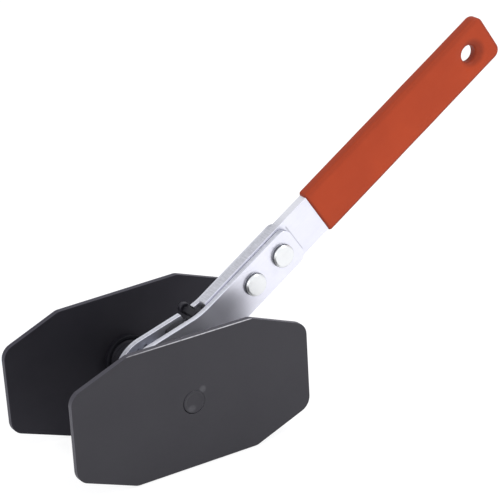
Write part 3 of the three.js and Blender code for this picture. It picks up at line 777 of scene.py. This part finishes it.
def vinyl(name):
    """Satin dip-coated vinyl: soft orange peel, faint drips along the handle, skin sheen, and
    painted shade on its edges, ends and round the hanging hole.
    """
    nodes = Nodes(name)
    here = nodes.coords("handle")
    cloud = nodes.noise(here, scale=0.035, detail=4)
    drip = nodes.noise(nodes.coords("handle", (0.05, 0.25, 0.25)), rough=0.5)
    peel = nodes.noise(here, scale=0.9, rough=0.5)
    grain = nodes.noise(here, scale=5.5, detail=4, rough=0.65)
    colour = nodes.mix(nodes.remap(cloud, span=(0.35, 0.65)),
                       rgb(0.345, 0.034, 0.0042), rgb(0.385, 0.040, 0.0055))
    colour = nodes.mix(nodes.remap(drip, span=(0.45, 0.7), to=(0.0, 0.25)),
                       colour, rgb(0.35, 0.033, 0.0038))
    speck = nodes.remap(nodes.voronoi(here, scale=0.7), span=(0.012, 0.045), to=(0.5, 0.0))
    patches = nodes.noise(here, scale=0.15, detail=2)
    speck = nodes.times(speck, nodes.remap(patches, span=(0.55, 0.7)))
    colour = nodes.mix(speck, colour, rgb(0.20, 0.02, 0.004))
    # painted shade on the grip's edges, ends and round the hanging hole
    colour = nodes.mix(painted_grip_shade(nodes, here), colour, rgb(0.165, 0.016, 0.0035))
    nodes.bump(drip, strength=0.30, distance=0.00035)
    nodes.bump(peel, strength=0.28, distance=0.00008)
    nodes.bump(grain, strength=0.30, distance=0.00003)
    nodes.set(Base_Color=colour, Specular_IOR_Level=0.32, Specular_Tint=rgb(1.0, 0.93, 0.82),
              Roughness=nodes.remap(grain, span=(0.3, 0.7), to=(0.50, 0.62)))
    return nodes.done()


ZINC = zinc("zinc_plate", tone=(0.83, 0.83, 0.90), rim_tone_and_shade=(0.73, 0.735, 0.775), sheet=True)
# the dark rim tone paints the shade on the rivet heads' side walls
ZINC_RIVET = zinc("zinc_rivet", tone=(0.82, 0.83, 0.82), rim_tone_and_shade=(0.14, 0.145, 0.16),
                  sheet=False)
PLATE = plate_paint("plate_paint", rubbing_and_highlight_amount=0.62, sheen=0.5, tint=(0.97, 0.945, 1.0))
# a shaded copy of the plate paint: less sheen, a purpler tint and a fainter rubbed edge paint the
# shade that falls on the far plate
PLATE_FAR_SHADED = plate_paint("plate_paint_far_shaded", rubbing_and_highlight_amount=0.25, sheen=0.28, tint=(0.90, 0.86, 1.0))
OXIDE = black_oxide("black_oxide", rough=0.42, tone=1.0)
OXIDE_KNOB = black_oxide("black_knob", rough=0.34, tone=1.6)
SCREW = turned_steel("oiled_screw", dark=rgb(0.006, 0.006, 0.009),
                     light=rgb(0.011, 0.010, 0.014), metallic=0.05, rough=0.46)
WASHER = turned_steel("blackened_washer", dark=rgb(0.005, 0.005, 0.007),
                      light=rgb(0.009, 0.009, 0.012), metallic=0.0, rough=0.55)
GEAR = turned_steel("gear_steel", dark=rgb(0.10, 0.11, 0.135),
                    light=rgb(0.16, 0.17, 0.20), metallic=1.0, rough=0.34)
SPRING = turned_steel("spring_wire", dark=rgb(0.55, 0.56, 0.58),
                      light=rgb(0.66, 0.67, 0.70), metallic=1.0, rough=0.25, groove=0.3)
VINYL = vinyl("dip_vinyl")

# ------------------------------------------------------------------ pressure plates


def plate_geometry():
    """A long octagon with rounded corners and a round hole for the screw's end."""
    half_length, half_height = 60.0, 31.2
    end_half_height, top_half_length = 20.05, 31.05
    quarter = [(half_length, end_half_height, 7.0), (top_half_length, half_height, 6)]
    upper = quarter + [(-x, z, radius) for x, z, radius in reversed(quarter)]
    lower = [(-x, -z, radius) for x, z, radius in upper]
    corners = lower[-1:] + upper + lower[:-1]

    def ease(x, y, z):
        """Dips the outer face in a ring round the hole."""
        radius = math.hypot(x, z)
        dip = 0.16 * math.exp(-((radius - 5.9) / 1.5) ** 2) if y > 31.0 else 0.0
        return (x, y - dip, z)

    hole = circle(0.09, -0.11, STUB_R + 0.16, sides=72)
    return slab(rounded(corners, step=5), [hole], PLATE_Y0, PLATE_Y1, edge=0.24, segments=4,
                spacing=3.2, longest=2.4, hole_edge=0.25, shape=ease)


for side, matrix, coating in (("far", FAR_TWIST, PLATE_FAR_SHADED), ("near", FLIP, PLATE)):
    plate = add(f"{side}_pressure_plate", plate_geometry(), matrix)
    place(plate, f"{side}_spindle", f"{side}_plate", coating)
    weigh(plate)

# ------------------------------------------------------------------ screws

PITCH = 2.5
SIDES = 72
# one turn of the thread: part of the pitch, part of the thread's height
THREAD = [
    (0.0, 0.0), (0.06, 0.02), (0.13, 0.12), (0.32, 0.8), (0.38, 0.96), (0.44, 1.0),
    (0.56, 1.0), (0.62, 0.96), (0.68, 0.8), (0.87, 0.12), (0.94, 0.02),
]


def thread_rings(major, root, tip, end, hand):
    """Rings from the tip to the collar, chamfered at the tip and running out at the collar.
    Every ring has SIDES points; height follows the helix."""
    turns = math.ceil((end - tip) / PITCH) + 2
    rings = []
    for j in range(len(THREAD) * turns):
        part, height = THREAD[j % len(THREAD)]
        ring = []
        for i in range(SIDES):
            y = tip - PITCH + PITCH * (j // len(THREAD) + part + i / SIDES)
            y = min(max(y, tip), end)
            radius = root + (major - root) * height
            chamfer = root - 0.25 + (y - tip) * 1.1
            runout = root + max(0.0, (end - y) - 0.25) * 1.6
            radius = max(min(radius, chamfer, runout), root - 0.25)
            turn = 2 * math.pi * i / SIDES
            ring.append((radius * math.cos(turn), y, -hand * radius * math.sin(turn)))
        rings.append(ring)
    return rings


def screw_geometry(major, root, length, hand, bore):
    """One skin: bore (or plain tip), thread, collar, and the end upset in the plate."""
    tip = PLATE_Y0 - length

    def ring(radius, y):
        if radius < 1e-6:
            return [(0, y, 0)]
        turns = [2 * math.pi * i / SIDES for i in range(SIDES)]
        return [(radius * math.cos(t), y, -hand * radius * math.sin(t)) for t in turns]

    if bore:
        inner = [
            (0, 28.3), (2.0, 28.3), (bore - 0.2, 26.8), (bore, 26.6), (bore, tip + 0.9),
            (bore + 0.1, tip + 0.6), (bore + 0.6, tip + 0.08), (bore + 0.75, tip),
        ]
    else:
        inner = [(0, tip + 0.25), (1.2, tip + 0.25), (1.7, tip + 0.02), (2.0, tip)]
    inner.append((root - 0.32, tip))
    verts, faces = [], []
    start = [push(verts, ring(radius, y)) for radius, y in inner]
    for lower, upper in zip(start[:-1], start[1:]):
        faces += bridge(lower, upper)
    thread = [push(verts, r) for r in thread_rings(major, root, tip, COLLAR_UNDER, hand)]
    first = push(verts, ring(root - 0.25, tip))
    previous = push(verts, ring(root, COLLAR_UNDER))
    faces += bridge(start[-1], first)
    # a row's last point meets the first point one pitch further on
    rows, turn = len(thread), len(THREAD)
    for j in range(rows - 1):
        here, above = thread[j], thread[j + 1]
        for i in range(SIDES - 1):
            faces.append((here[i], above[i], above[i + 1], here[i + 1]))
        if j + 1 + turn < rows:
            faces.append((here[-1], above[-1], thread[j + 1 + turn][0], thread[j + turn][0]))
    collar = soften([
        (root, COLLAR_UNDER), (10.2, COLLAR_UNDER, 0.45), (10.2, COLLAR_FACE, 0.3),
        (STUB_R, COLLAR_FACE, 0.12), (STUB_R, PLATE_Y1 - 0.10, 0.30),
        (4.75, PLATE_Y1 - 0.02, 0.3), (3.5, PLATE_Y1 - 0.55, 0.9), (0, PLATE_Y1 - 0.62),
    ])
    for radius, y in collar[1:]:
        now = push(verts, ring(radius, y))
        faces += bridge(previous, now)
        previous = now
    return verts, faces


def finish_thread(obj):
    """Closes the pinholes a helix leaves at its ends after equal points are merged."""
    bm = bmesh.new()
    bm.from_mesh(obj.data)
    bmesh.ops.remove_doubles(bm, verts=bm.verts, dist=2e-6)
    bmesh.ops.dissolve_degenerate(bm, edges=bm.edges, dist=1e-6)
    loose = [e for e in bm.edges if len(e.link_faces) < 2]
    if loose:
        bmesh.ops.holes_fill(bm, edges=loose, sides=0)
    bmesh.ops.recalc_face_normals(bm, faces=bm.faces)
    bm.to_mesh(obj.data)
    bm.free()
    shade(obj, 40)


def make_screw(name, side, matrix, coating, **sizes):
    screw = add(name, screw_geometry(**sizes), matrix)
    finish_thread(screw)
    place(screw, f"{side}_spindle", f"{side}_screw", SCREW)
    # the coating went over the end after it was upset in the plate
    screw.data.materials.append(coating)
    for face in screw.data.polygons:
        if abs(face.center.y / MM - HEAD.y) > 31.0:
            face.material_index = 1


make_screw("far_screw_left_hand", "far", IDENTITY, PLATE_FAR_SHADED,
           major=FAR_MAJOR, root=7.85, length=23.4, hand=-1, bore=5.95)
make_screw("near_screw_right_hand", "near", FLIP, PLATE,
           major=NEAR_MAJOR, root=4.4, length=26.0, hand=1, bore=0)


def washer_geometry(hole):
    y1 = COLLAR_UNDER - 0.3
    y0 = y1 - 1.2
    section = [(hole, y0, 0.12), (11.0, y0, 0.3), (11.0, y1, 0.2), (hole, y1, 0.12)]
    return stack(lathe_rings(soften(section, closed=True), 96), closed=True)


for side, major, matrix in (("far", FAR_MAJOR, IDENTITY), ("near", NEAR_MAJOR, FLIP)):
    washer = add(f"{side}_washer_ring", washer_geometry(major + 0.3), matrix)
    place(washer, f"{side}_washer", f"{side}_thrust_washer", WASHER)

# ------------------------------------------------------------------ ratchet barrel


def tooth_outline(tip, root):
    """(radius, degrees) round all the teeth, from the middle of a valley."""
    valley = 0.40 / root / DEG      # half widths of the valley floor and the tip land
    land = 0.42 / tip / DEG
    flank = TOOTH_PITCH / 2 - land - valley
    tooth = [(root + 0.10, -valley), (root, -valley * 0.4), (root, valley * 0.4),
             (root + 0.10, valley)]
    tooth += [(root + (tip - root) * k, valley + flank * k) for k in (0.33, 0.66)]
    tooth += [(radius, TOOTH_PITCH / 2 + turn) for radius, turn in (
        (tip - 0.08, -land), (tip, -land * 0.6), (tip, land * 0.6), (tip - 0.08, land))]
    tooth += [(root + (tip - root) * k, TOOTH_PITCH - valley - flank * k) for k in (0.66, 0.33)]
    return [(radius, i * TOOTH_PITCH + turn) for i in range(TEETH) for radius, turn in tooth]


def barrel_geometry():
    """A toothed band between two hubs, with a wide bore on the far side and a narrow one near."""
    half, hub, chamfer = 12.0, 12.4, 0.75
    far_bore, near_bore = FAR_MAJOR + 0.35, NEAR_MAJOR + 0.35
    teeth = tooth_outline(tip=16.4, root=14.7)

    def ring(y, radius):
        points = [polar(radius, turn) for _, turn in teeth]
        return [(x, y, z) for x, z in points]

    def tooth_ring(y, drop):
        points = [polar(radius - drop, turn) for radius, turn in teeth]
        return [(x, y, z) for x, z in points]

    def outside(sign):
        """From a mouth in to the toothed band."""
        profile = [
            (half - 0.02, hub - 1.6), (half, hub - 0.8), (half - 0.08, hub - 0.25),
            (half - 0.3, hub - 0.05), (half - 0.55, hub), (3.15, hub), (2.88, hub + 0.08),
            (2.8, hub + 0.35), (2.8, 14.3),
        ]
        rings = [ring(sign * y, radius) for y, radius in profile]
        band = ((2.8, 0.28), (2.72, 0.10), (2.55, 0.0))
        return rings + [tooth_ring(sign * y, drop) for y, drop in band]

    bore = [
        (half, far_bore + chamfer), (half - chamfer, far_bore), (-6.7, far_bore), (-6.98, 9.1),
        (-7.0, 6.2), (-7.25, near_bore), (-half + chamfer, near_bore),
        (-half, near_bore + chamfer),
    ]
    rings = outside(-1) + list(reversed(outside(1))) + [ring(y, radius) for y, radius in bore]
    return stack(rings, closed=True)


barrel = add("ratchet_gear_barrel", barrel_geometry(), HANDLE, 30)
place(barrel, "barrel", "ratchet_barrel", GEAR)

# ------------------------------------------------------------------ handle bar and grip

BAR_START, BAR_END = 37.3, 221.4
BAR_W, BAR_T = 10.85, 2.3                    # half width and half thickness
GRIP_START, GRIP_END = 104.5, 223.8
GRIP_W, GRIP_T = 12.3, 3.13                  # half width and half thickness


def rivet_holes():
    return [circle(x, RIVET_Z, RIVET_HOLE_R, sides=40) for x in RIVETS]


def bar_geometry():
    """A flat bar with a slot in its head end."""
    slot_end, slot_half = 50.5, 2.35
    outline = rounded([
        (BAR_START, -BAR_W, 0.6), (BAR_END, -BAR_W, 3.6),
        (BAR_END, BAR_W, 3.6), (BAR_START, BAR_W, 0.6),
        (BAR_START, slot_half, 0.25), (slot_end, slot_half, 1.2),
        (slot_end, -slot_half, 1.2), (BAR_START, -slot_half, 0.25),
    ])
    holes = rivet_holes() + [circle(HANG_X, 0, HANG_R + 0.95, sides=48)]
    return slab(outline, holes, -BAR_T, BAR_T, edge=0.22, longest=4.0)


def grip_skin(x, y, z):
    """Dipped skin: fuller in the middle of each face, thinner near the ends of the flat,
    slack round the hanging hole, with slow unevenness along the handle."""
    face = min(1.0, abs(y) / GRIP_T)
    side = 1 if y > 0 else -1
    across = max(0.0, 1 - (z / (GRIP_W - 1.0)) ** 2)
    along = min(1.0, max(0.0, (x - GRIP_START) / 3.0)) * min(1.0, max(0.0, (GRIP_END - x) / 6.0))
    radius = math.hypot(x - HANG_X, z)
    funnel = math.exp(-((radius - HANG_R) / 2.1) ** 2) if radius > HANG_R - 0.3 else 1.0
    wave = noise.noise(Vector((x * 0.05, side * 3.1, z * 0.12)))
    swell = -0.12 + 0.12 * across * along + 0.05 * wave
    if abs(y) > 1.2:
        swell -= 0.55 * funnel * face
    width = 1 + 0.004 * noise.noise(Vector((x * 0.06, 9.0, side * 0.1)))
    if abs(y) > 1.0:
        y += side * swell * face
    return (x, y, z * width)


def grip_geometry():
    outline = rounded([(GRIP_START, -GRIP_W, 1.6), (GRIP_END, -GRIP_W, 4.4),
                       (GRIP_END, GRIP_W, 4.4), (GRIP_START, GRIP_W, 1.6)], step=5)
    hole = circle(HANG_X, 0, HANG_R, sides=64, wobble=0.05, seed=3.0)
    return slab(outline, [hole], -GRIP_T, GRIP_T, edge=1.35, segments=6, spacing=2.2,
                hole_edge=1.5, shape=grip_skin)


def cavity_geometry():
    """The room for the bar inside the grip, open at the head end."""
    play = 0.06
    start, end = GRIP_START - 4, BAR_END + 0.15
    width, thickness = BAR_W + play, BAR_T + play
    outline = rounded([(start, -width, 0.2), (end, -width, 3.6),
                       (end, width, 3.6), (start, width, 0.2)], step=15)
    return slab(outline, [circle(HANG_X, 0, HANG_R + 0.65, sides=40)], -thickness, thickness,
                edge=0.15, segments=2, longest=6.0)


bar = add("handle_flat_bar", bar_geometry(), HANDLE)
place(bar, "handle", "handle_bar", ZINC)
weigh(bar)

grip = add("dipped_grip", grip_geometry(), HANDLE, 60)
combine(grip, add("grip_cavity", cavity_geometry(), HANDLE))
place(grip, "handle", "grip_sleeve", VINYL)

# ------------------------------------------------------------------ cheeks

CHEEK_END, NECK, HEAD_R = 88.2, 9.9, 19.2    # far end, half width and head radius
FLANK = 16.7                                 # slope of the flanks, degrees
CHEEK_Y0, CHEEK_Y1 = 2.55, 5.55
JOGGLE = 0.55                                # how far the head steps out from the neck


def with_window(top):
    """The upper edge of a cheek with a notch, for the reversing lever, let into it."""
    start, end, floor = 26.9, 33.7, 6.9

    def edge(x):
        points = sorted(p for p in top if p[1] > 4)
        for left, right in zip(points[:-1], points[1:]):
            if left[0] <= x <= right[0]:
                return left[1] + (right[1] - left[1]) * (x - left[0]) / (right[0] - left[0])

    notch = rounded([(start, 9.5, 0), (start, floor, 0.9), (end, floor, 0.9), (end, 9.5, 0)],
                    step=15)[1:-1]
    before = [p for p in top if p[0] < start - 0.3]
    after = [p for p in top if p[0] > end + 0.3]
    return before + [(start, edge(start))] + notch + [(end, edge(end))] + after


def cheek_outline(window):
    normal = 90 - FLANK
    corner = (HEAD_R - NECK * math.sin(normal * DEG)) / math.cos(normal * DEG)
    bend = rounded([(*polar(HEAD_R, normal), 0), (corner, NECK, 40), (CHEEK_END, NECK, 0)],
                   step=1.2)[1:-1]
    top = [polar(HEAD_R, turn) for turn in range(180, 0, -3) if turn > normal]
    top += [polar(HEAD_R, normal)] + bend
    end_r = 4.5
    for k in range(10):
        x, z = polar(end_r, 90 - 10 * k)
        top.append((CHEEK_END - end_r + x, NECK - end_r + z))
    return (with_window(top) if window else top) + mirror(top)


def cheek_geometry(side, window):
    def joggle(x, y, z):
        part = min(1.0, max(0.0, (39 - x) / 11))
        y += JOGGLE * part * part * (3 - 2 * part)
        return (x, side * y, z)

    holes = [circle(0, 0, 12.75, sides=96), circle(*PIVOT, PIVOT_HOLE_R, sides=40)]
    return slab(cheek_outline(window), holes + rivet_holes(), CHEEK_Y0, CHEEK_Y1, edge=0.28,
                spacing=2.4, longest=1.1, hole_edge=0.2, shape=joggle)


for side, sign in (("far", 1), ("near", -1)):
    cheek = add(f"{side}_head_cheek", cheek_geometry(sign, window=side == "far"), HANDLE)
    place(cheek, "handle", f"{side}_cheek", ZINC)
    weigh(cheek)

# ------------------------------------------------------------------ rivets and pivot pin


def rivet_geometry(x, z, seat, shank, head, face, height, seed):
    """A shank with a domed head on each side; seat is |y| of the surface under a head."""
    y0 = seat + 0.1
    top = y0 + height
    half = [(shank, y0, 0.15), (head, y0, 0.18), (head - 0.06, y0 + height * 0.62, 0.45),
            (face, top, 0.5), (face * 0.55, top + 0.02, 0.5), (0, top - 0.06)]
    whole = [(radius, -y, *rest) for radius, y, *rest in reversed(half)] + half
    rings = []
    for ring in lathe_rings(soften(whole, steps=5), 80, x, z):
        # the heads are a little uneven
        moved = []
        for px, py, pz in ring:
            k = noise.noise(Vector(((px - x) * 0.35, py * 0.2 + seed, (pz - z) * 0.35)))
            if abs(py) > seat + 0.4:
                py += 0.10 * k * (1 if py > 0 else -1)
            moved.append((px + 0.05 * k, py, pz + 0.05 * k))
        rings.append(moved)
    return stack(rings)


def make_rivet(name, node, **sizes):
    rivet = add(name, rivet_geometry(**sizes), HANDLE, 50)
    place(rivet, "handle", node, ZINC_RIVET)


HANDLE_RIVET = dict(z=RIVET_Z, seat=CHEEK_Y1, shank=3.2, head=5.5, face=4.65, height=2.1)
make_rivet("rivet_by_head", "rivet_inner", x=RIVETS[0], seed=1.7, **HANDLE_RIVET)
make_rivet("rivet_by_grip", "rivet_outer", x=RIVETS[1], seed=8.3, **HANDLE_RIVET)
make_rivet("pivot_rivet", "pawl_pivot_pin", x=PIVOT[0], z=PIVOT[1], seat=CHEEK_Y1 + JOGGLE,
           shank=3.0, head=5.0, face=4.2, height=1.8, seed=4.4)

# ------------------------------------------------------------------ pawl, lever and knob

TILT = -6.0                                  # the pawl's turn about its pivot, degrees
PAWL_BACK = 10.55                            # radius of its back about the pivot
LEVER_X, LEVER_HALF = 30.25, 1.9
LEVER_Z0, LEVER_Z1 = 8.3, 11.0


def tilted(point):
    """A point (x, z) turned by TILT about the pivot."""
    cos, sin = math.cos(TILT * DEG), math.sin(TILT * DEG)
    x, z = point[0] - PIVOT[0], point[1] - PIVOT[1]
    return (PIVOT[0] + x * cos - z * sin, PIVOT[1] + x * sin + z * cos)


def pawl_outline():
    # tooth tip: radius from the barrel's axis, arc length from the second valley
    tip = [(17.7, -1.95), (16.4, -1.28), (15.2, -0.4), (15.2, 0.4), (16.4, 1.28), (18.3, 2.3)]
    upper = [polar(17.75, turn) for turn in range(0, 21, 4)]
    upper += [tilted(polar(r, 2 * TOOTH_PITCH + width / r / DEG)) for r, width in tip]
    upper += [(19.4, 12.0), (22.6, 11.4), (26.0, 9.6), (26.6, 10.3), (34.6, 10.3), (35.3, 9.6),
              (35.3, 4.2)]
    # back: degrees about the pivot, depth below PAWL_BACK, with a notch for the detent
    back = [(15, 0.0), (10.5, 0.0), (7.6, 0.3), (6.0, 0.4), (4.4, 0.3), (1.5, 0.0)]
    for turn, depth in back:
        x, z = polar(PAWL_BACK - depth, turn)
        upper.append((PIVOT[0] + x, z))
    return upper + mirror(upper)


pawl = add("reversible_pawl",
           slab([tilted(p) for p in pawl_outline()], [circle(*PIVOT, PIVOT_HOLE_R, sides=40)],
                -2.35, 2.35, edge=0.2, segments=2, longest=1.5), HANDLE)
# notch in the pawl that the lever sits in
seat_x0, seat_x1 = LEVER_X - LEVER_HALF - 0.12, LEVER_X + LEVER_HALF + 0.12
seat_z0, seat_z1 = LEVER_Z0 - 0.1, 14
seat_corners = ((seat_x0, seat_z0), (seat_x1, seat_z0), (seat_x1, seat_z1), (seat_x0, seat_z1))
combine(pawl, add("lever_seat", slab([tilted(p) for p in seat_corners], [], -1.75, 5.0,
                                     edge=0.05, segments=1, longest=5.0), HANDLE))
place(pawl, "pawl", "pawl", OXIDE)

KNOB_X, KNOB_Z = tilted((LEVER_X, (LEVER_Z0 + LEVER_Z1) / 2 + 0.55))
tab = rounded([
    (LEVER_X - LEVER_HALF, LEVER_Z0, 0.35), (LEVER_X + LEVER_HALF, LEVER_Z0, 0.35),
    (LEVER_X + LEVER_HALF, LEVER_Z1, 0.6), (LEVER_X - LEVER_HALF, LEVER_Z1, 0.6),
], step=15)
lever = add("reversing_lever_tab", slab([tilted(p) for p in tab], [], -1.6, 7.3, longest=1.2),
            HANDLE)
tenon = soften([(0, 6.3), (1.1, 6.3), (1.1, 9.6), (0, 9.6)])
combine(lever, add("lever_tenon", stack(lathe_rings(tenon, 32, KNOB_X, KNOB_Z)), HANDLE),
        "UNION")
place(lever, "pawl", "reversing_lever", OXIDE)

knob_inside = [(0, 9.8), (1.2, 9.8), (1.4, 9.6), (1.4, 7.6)]
knob_outside = soften([
    (1.4, 7.5), (2.35, 7.5, 0.2), (2.6, 7.85, 0.25), (2.6, 9.5, 0.5), (2.1, 10.5, 0.8),
    (0.9, 10.98, 0.8), (0, 11.0),
])[1:]
knob = add("reversing_knob",
           stack(lathe_rings(knob_inside + knob_outside, 56, KNOB_X, KNOB_Z)), HANDLE, 50)
place(knob, "pawl", "lever_knob", OXIDE_KNOB)

# ------------------------------------------------------------------ detent

NOSE = PIVOT[0] + PAWL_BACK + 0.3            # tip of the plunger
SPRING_END = 49.9


def plunger_geometry():
    """A pin along x with a domed nose and a thinner stem."""
    radius, dome = 2.0, 1.2
    profile = [(0.0, NOSE)]
    for turn in range(10, 90, 10):
        x, z = polar(1.0, turn)
        profile.append((radius * z, NOSE + dome * (1 - x)))
    profile += [(radius, NOSE + dome), (radius, NOSE + 4.45), (1.85, NOSE + 4.6),
                (1.05, NOSE + 4.6), (1.05, NOSE + 8.0), (0.8, NOSE + 8.3), (0, NOSE + 8.3)]
    return stack(lathe_rings(profile, 40, axis="x"))


def coil_geometry():
    """A coil along x with closed end turns, open between."""
    start, radius, wire = NOSE + 5.2, 1.68, 0.27
    turns, dead = 6.5, 0.8                   # dead turns lie closed at each end
    steps, sides = 300, 12
    path = []
    for k in range(steps + 1):
        turn = k / steps * turns
        if turn < dead:
            part = turn / dead * 0.06
        elif turn > turns - dead:
            part = 1 - (turns - turn) / dead * 0.06
        else:
            part = 0.06 + 0.88 * (turn - dead) / (turns - 2 * dead)
        angle = 2 * math.pi * turn
        path.append(Vector((start + (SPRING_END - start) * part,
                            radius * math.cos(angle), radius * math.sin(angle))))
    rings = [[path[0]]]
    for k, centre in enumerate(path):
        tangent = (path[min(k + 1, steps)] - path[max(k - 1, 0)]).normalized()
        outward = Vector((0, centre.y, centre.z)).normalized()
        sideways = tangent.cross(outward).normalized()
        outward = sideways.cross(tangent)
        angles = [2 * math.pi * i / sides for i in range(sides)]
        rings.append([centre + wire * (math.cos(a) * outward + math.sin(a) * sideways)
                      for a in angles])
    rings.append([path[-1]])
    return stack(rings)


plunger = add("detent_pin", plunger_geometry(), HANDLE, 40)
place(plunger, "detent", "detent_plunger", SPRING)

spring = add("detent_coil_spring", coil_geometry(), HANDLE, 60)
place(spring, "handle", "detent_spring", SPRING)
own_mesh(spring)

# ------------------------------------------------------------------ floor


def floor_material():
    """High-key white sweep: partly self-lit, so that only a faint contact shadow shows."""
    nodes = Nodes("pale_floor")
    cloud = nodes.noise(nodes.coords(), scale=0.01, detail=2)
    tone = nodes.mix(nodes.remap(cloud, span=(0.3, 0.7)),
                     rgb(0.90, 0.90, 0.90), rgb(0.92, 0.92, 0.92))
    nodes.set(Base_Color=tone, Roughness=0.9, Emission_Color=rgb(1, 1, 1),
              Emission_Strength=0.06, Specular_IOR_Level=0.0)
    # what the camera sees of it is exposed to near white
    glow = nodes.new("ShaderNodeEmission")
    glow.inputs["Strength"].default_value = 0.84
    lit = nodes.new("ShaderNodeBsdfDiffuse")
    lit.inputs["Color"].default_value = rgb(0.24, 0.24, 0.24)
    both = nodes.new("ShaderNodeAddShader")
    mix = nodes.new("ShaderNodeMixShader")
    path = nodes.new("ShaderNodeLightPath")
    nodes.link(glow.outputs[0], both.inputs[0])
    nodes.link(lit.outputs[0], both.inputs[1])
    nodes.link(path.outputs["Is Camera Ray"], mix.inputs[0])
    nodes.link(nodes.bsdf.outputs[0], mix.inputs[1])
    nodes.link(both.outputs[0], mix.inputs[2])
    nodes.link(mix.outputs[0], nodes.out.inputs[0])
    return nodes.done()


def make_floor():
    z = cad_lo.z - 0.0002
    reach = 6.0
    corners = [(-reach, -reach, z), (reach, -reach, z), (reach, reach, z), (-reach, reach, z)]
    mesh = bpy.data.meshes.new("floor")
    mesh.from_pydata(corners, [], [(0, 1, 2, 3)])
    floor = bpy.data.objects.new("floor", mesh)
    mesh.materials.append(floor_material())
    bpy.context.scene.collection.objects.link(floor)


make_floor()

# ------------------------------------------------------------------ surround and lamps


def studio():
    """White backdrop for the camera; a softer surround, brightest in front, for the object."""
    world = bpy.data.worlds.new("studio")
    world.use_nodes = True
    bpy.context.scene.world = world
    tree = world.node_tree
    tree.nodes.clear()
    new, link = tree.nodes.new, tree.links.new
    out = new("ShaderNodeOutputWorld")
    path = new("ShaderNodeLightPath")
    texture = new("ShaderNodeTexCoord")
    direction = new("ShaderNodeSeparateXYZ")
    link(texture.outputs["Generated"], direction.inputs[0])

    def ramp(socket, span, to):
        node = new("ShaderNodeMapRange")
        node.interpolation_type = "SMOOTHSTEP"
        link(socket, node.inputs["Value"])
        for key, number in zip(("From Min", "From Max", "To Min", "To Max"), (*span, *to)):
            node.inputs[key].default_value = number
        return node.outputs[0]

    front = ramp(direction.outputs["Y"], span=(0.35, -0.8), to=(0.0, 0.30))
    high = ramp(direction.outputs["Z"], span=(0.35, 1.0), to=(0.80, 0.85))
    total = new("ShaderNodeMath")
    total.operation = "ADD"
    link(front, total.inputs[0])
    link(high, total.inputs[1])
    soft = new("ShaderNodeBackground")
    bright = new("ShaderNodeBackground")
    mix = new("ShaderNodeMixShader")
    soft.inputs["Color"].default_value = (0.97, 0.98, 1.03, 1)
    link(total.outputs[0], soft.inputs["Strength"])
    bright.inputs["Color"].default_value = (1, 1, 1, 1)
    bright.inputs["Strength"].default_value = 1.1
    link(path.outputs["Is Camera Ray"], mix.inputs[0])
    link(soft.outputs[0], mix.inputs[1])
    link(bright.outputs[0], mix.inputs[2])
    link(mix.outputs[0], out.inputs[0])


def lamp(name, where, target, size, power):
    data = bpy.data.lights.new(name, "AREA")
    data.shape = "RECTANGLE"
    data.size = size
    data.size_y = size
    data.energy = power
    light = bpy.data.objects.new(name, data)
    light.location = where
    light.rotation_mode = "QUATERNION"
    light.rotation_quaternion = (Vector(target) - Vector(where)).to_track_quat("-Z", "Y")
    bpy.context.scene.collection.objects.link(light)


studio()
lamp("key_high_right", where=(0.64, -0.49, 1.10), target=(0.03, 0.0, 0.06), size=0.22, power=4.5)
lamp("fill_left", where=(-1.1, -0.4, 0.5), target=(0.0, 0.03, 0.05), size=0.6, power=3.0)

# ------------------------------------------------------------------ camera


def make_camera(azimuth, elevation, roll, eye, lens):
    """Angles in radians, eye in metres from the middle of the head, lens in millimetres."""
    back = Vector((math.sin(azimuth) * math.cos(elevation),
                   -math.cos(azimuth) * math.cos(elevation), math.sin(elevation)))
    forward = -back
    level = forward.cross(Vector((0, 0, 1))).normalized()
    upright = level.cross(forward)
    right = math.cos(roll) * level + math.sin(roll) * upright
    up = -math.sin(roll) * level + math.cos(roll) * upright
    data = bpy.data.cameras.new("camera")
    data.sensor_width = 36.0
    data.lens = lens
    data.clip_start = 0.05
    data.clip_end = 50
    camera = bpy.data.objects.new("camera", data)
    bpy.context.scene.collection.objects.link(camera)
    eye = Vector(eye) + HEAD * MM
    rows = [(right[k], up[k], back[k], eye[k]) for k in range(3)]
    camera.matrix_world = Matrix((*rows, (0, 0, 0, 1)))
    bpy.context.scene.camera = camera


make_camera(azimuth=-31.396 * DEG, elevation=22.695 * DEG, roll=-3.2738 * DEG,
            eye=(-0.470313, -0.856615, 0.467217), lens=173.76048)
bpy.context.scene.view_settings.view_transform = "Standard"
bpy.context.scene.view_settings.look = "None"
bpy.context.view_layer.update()
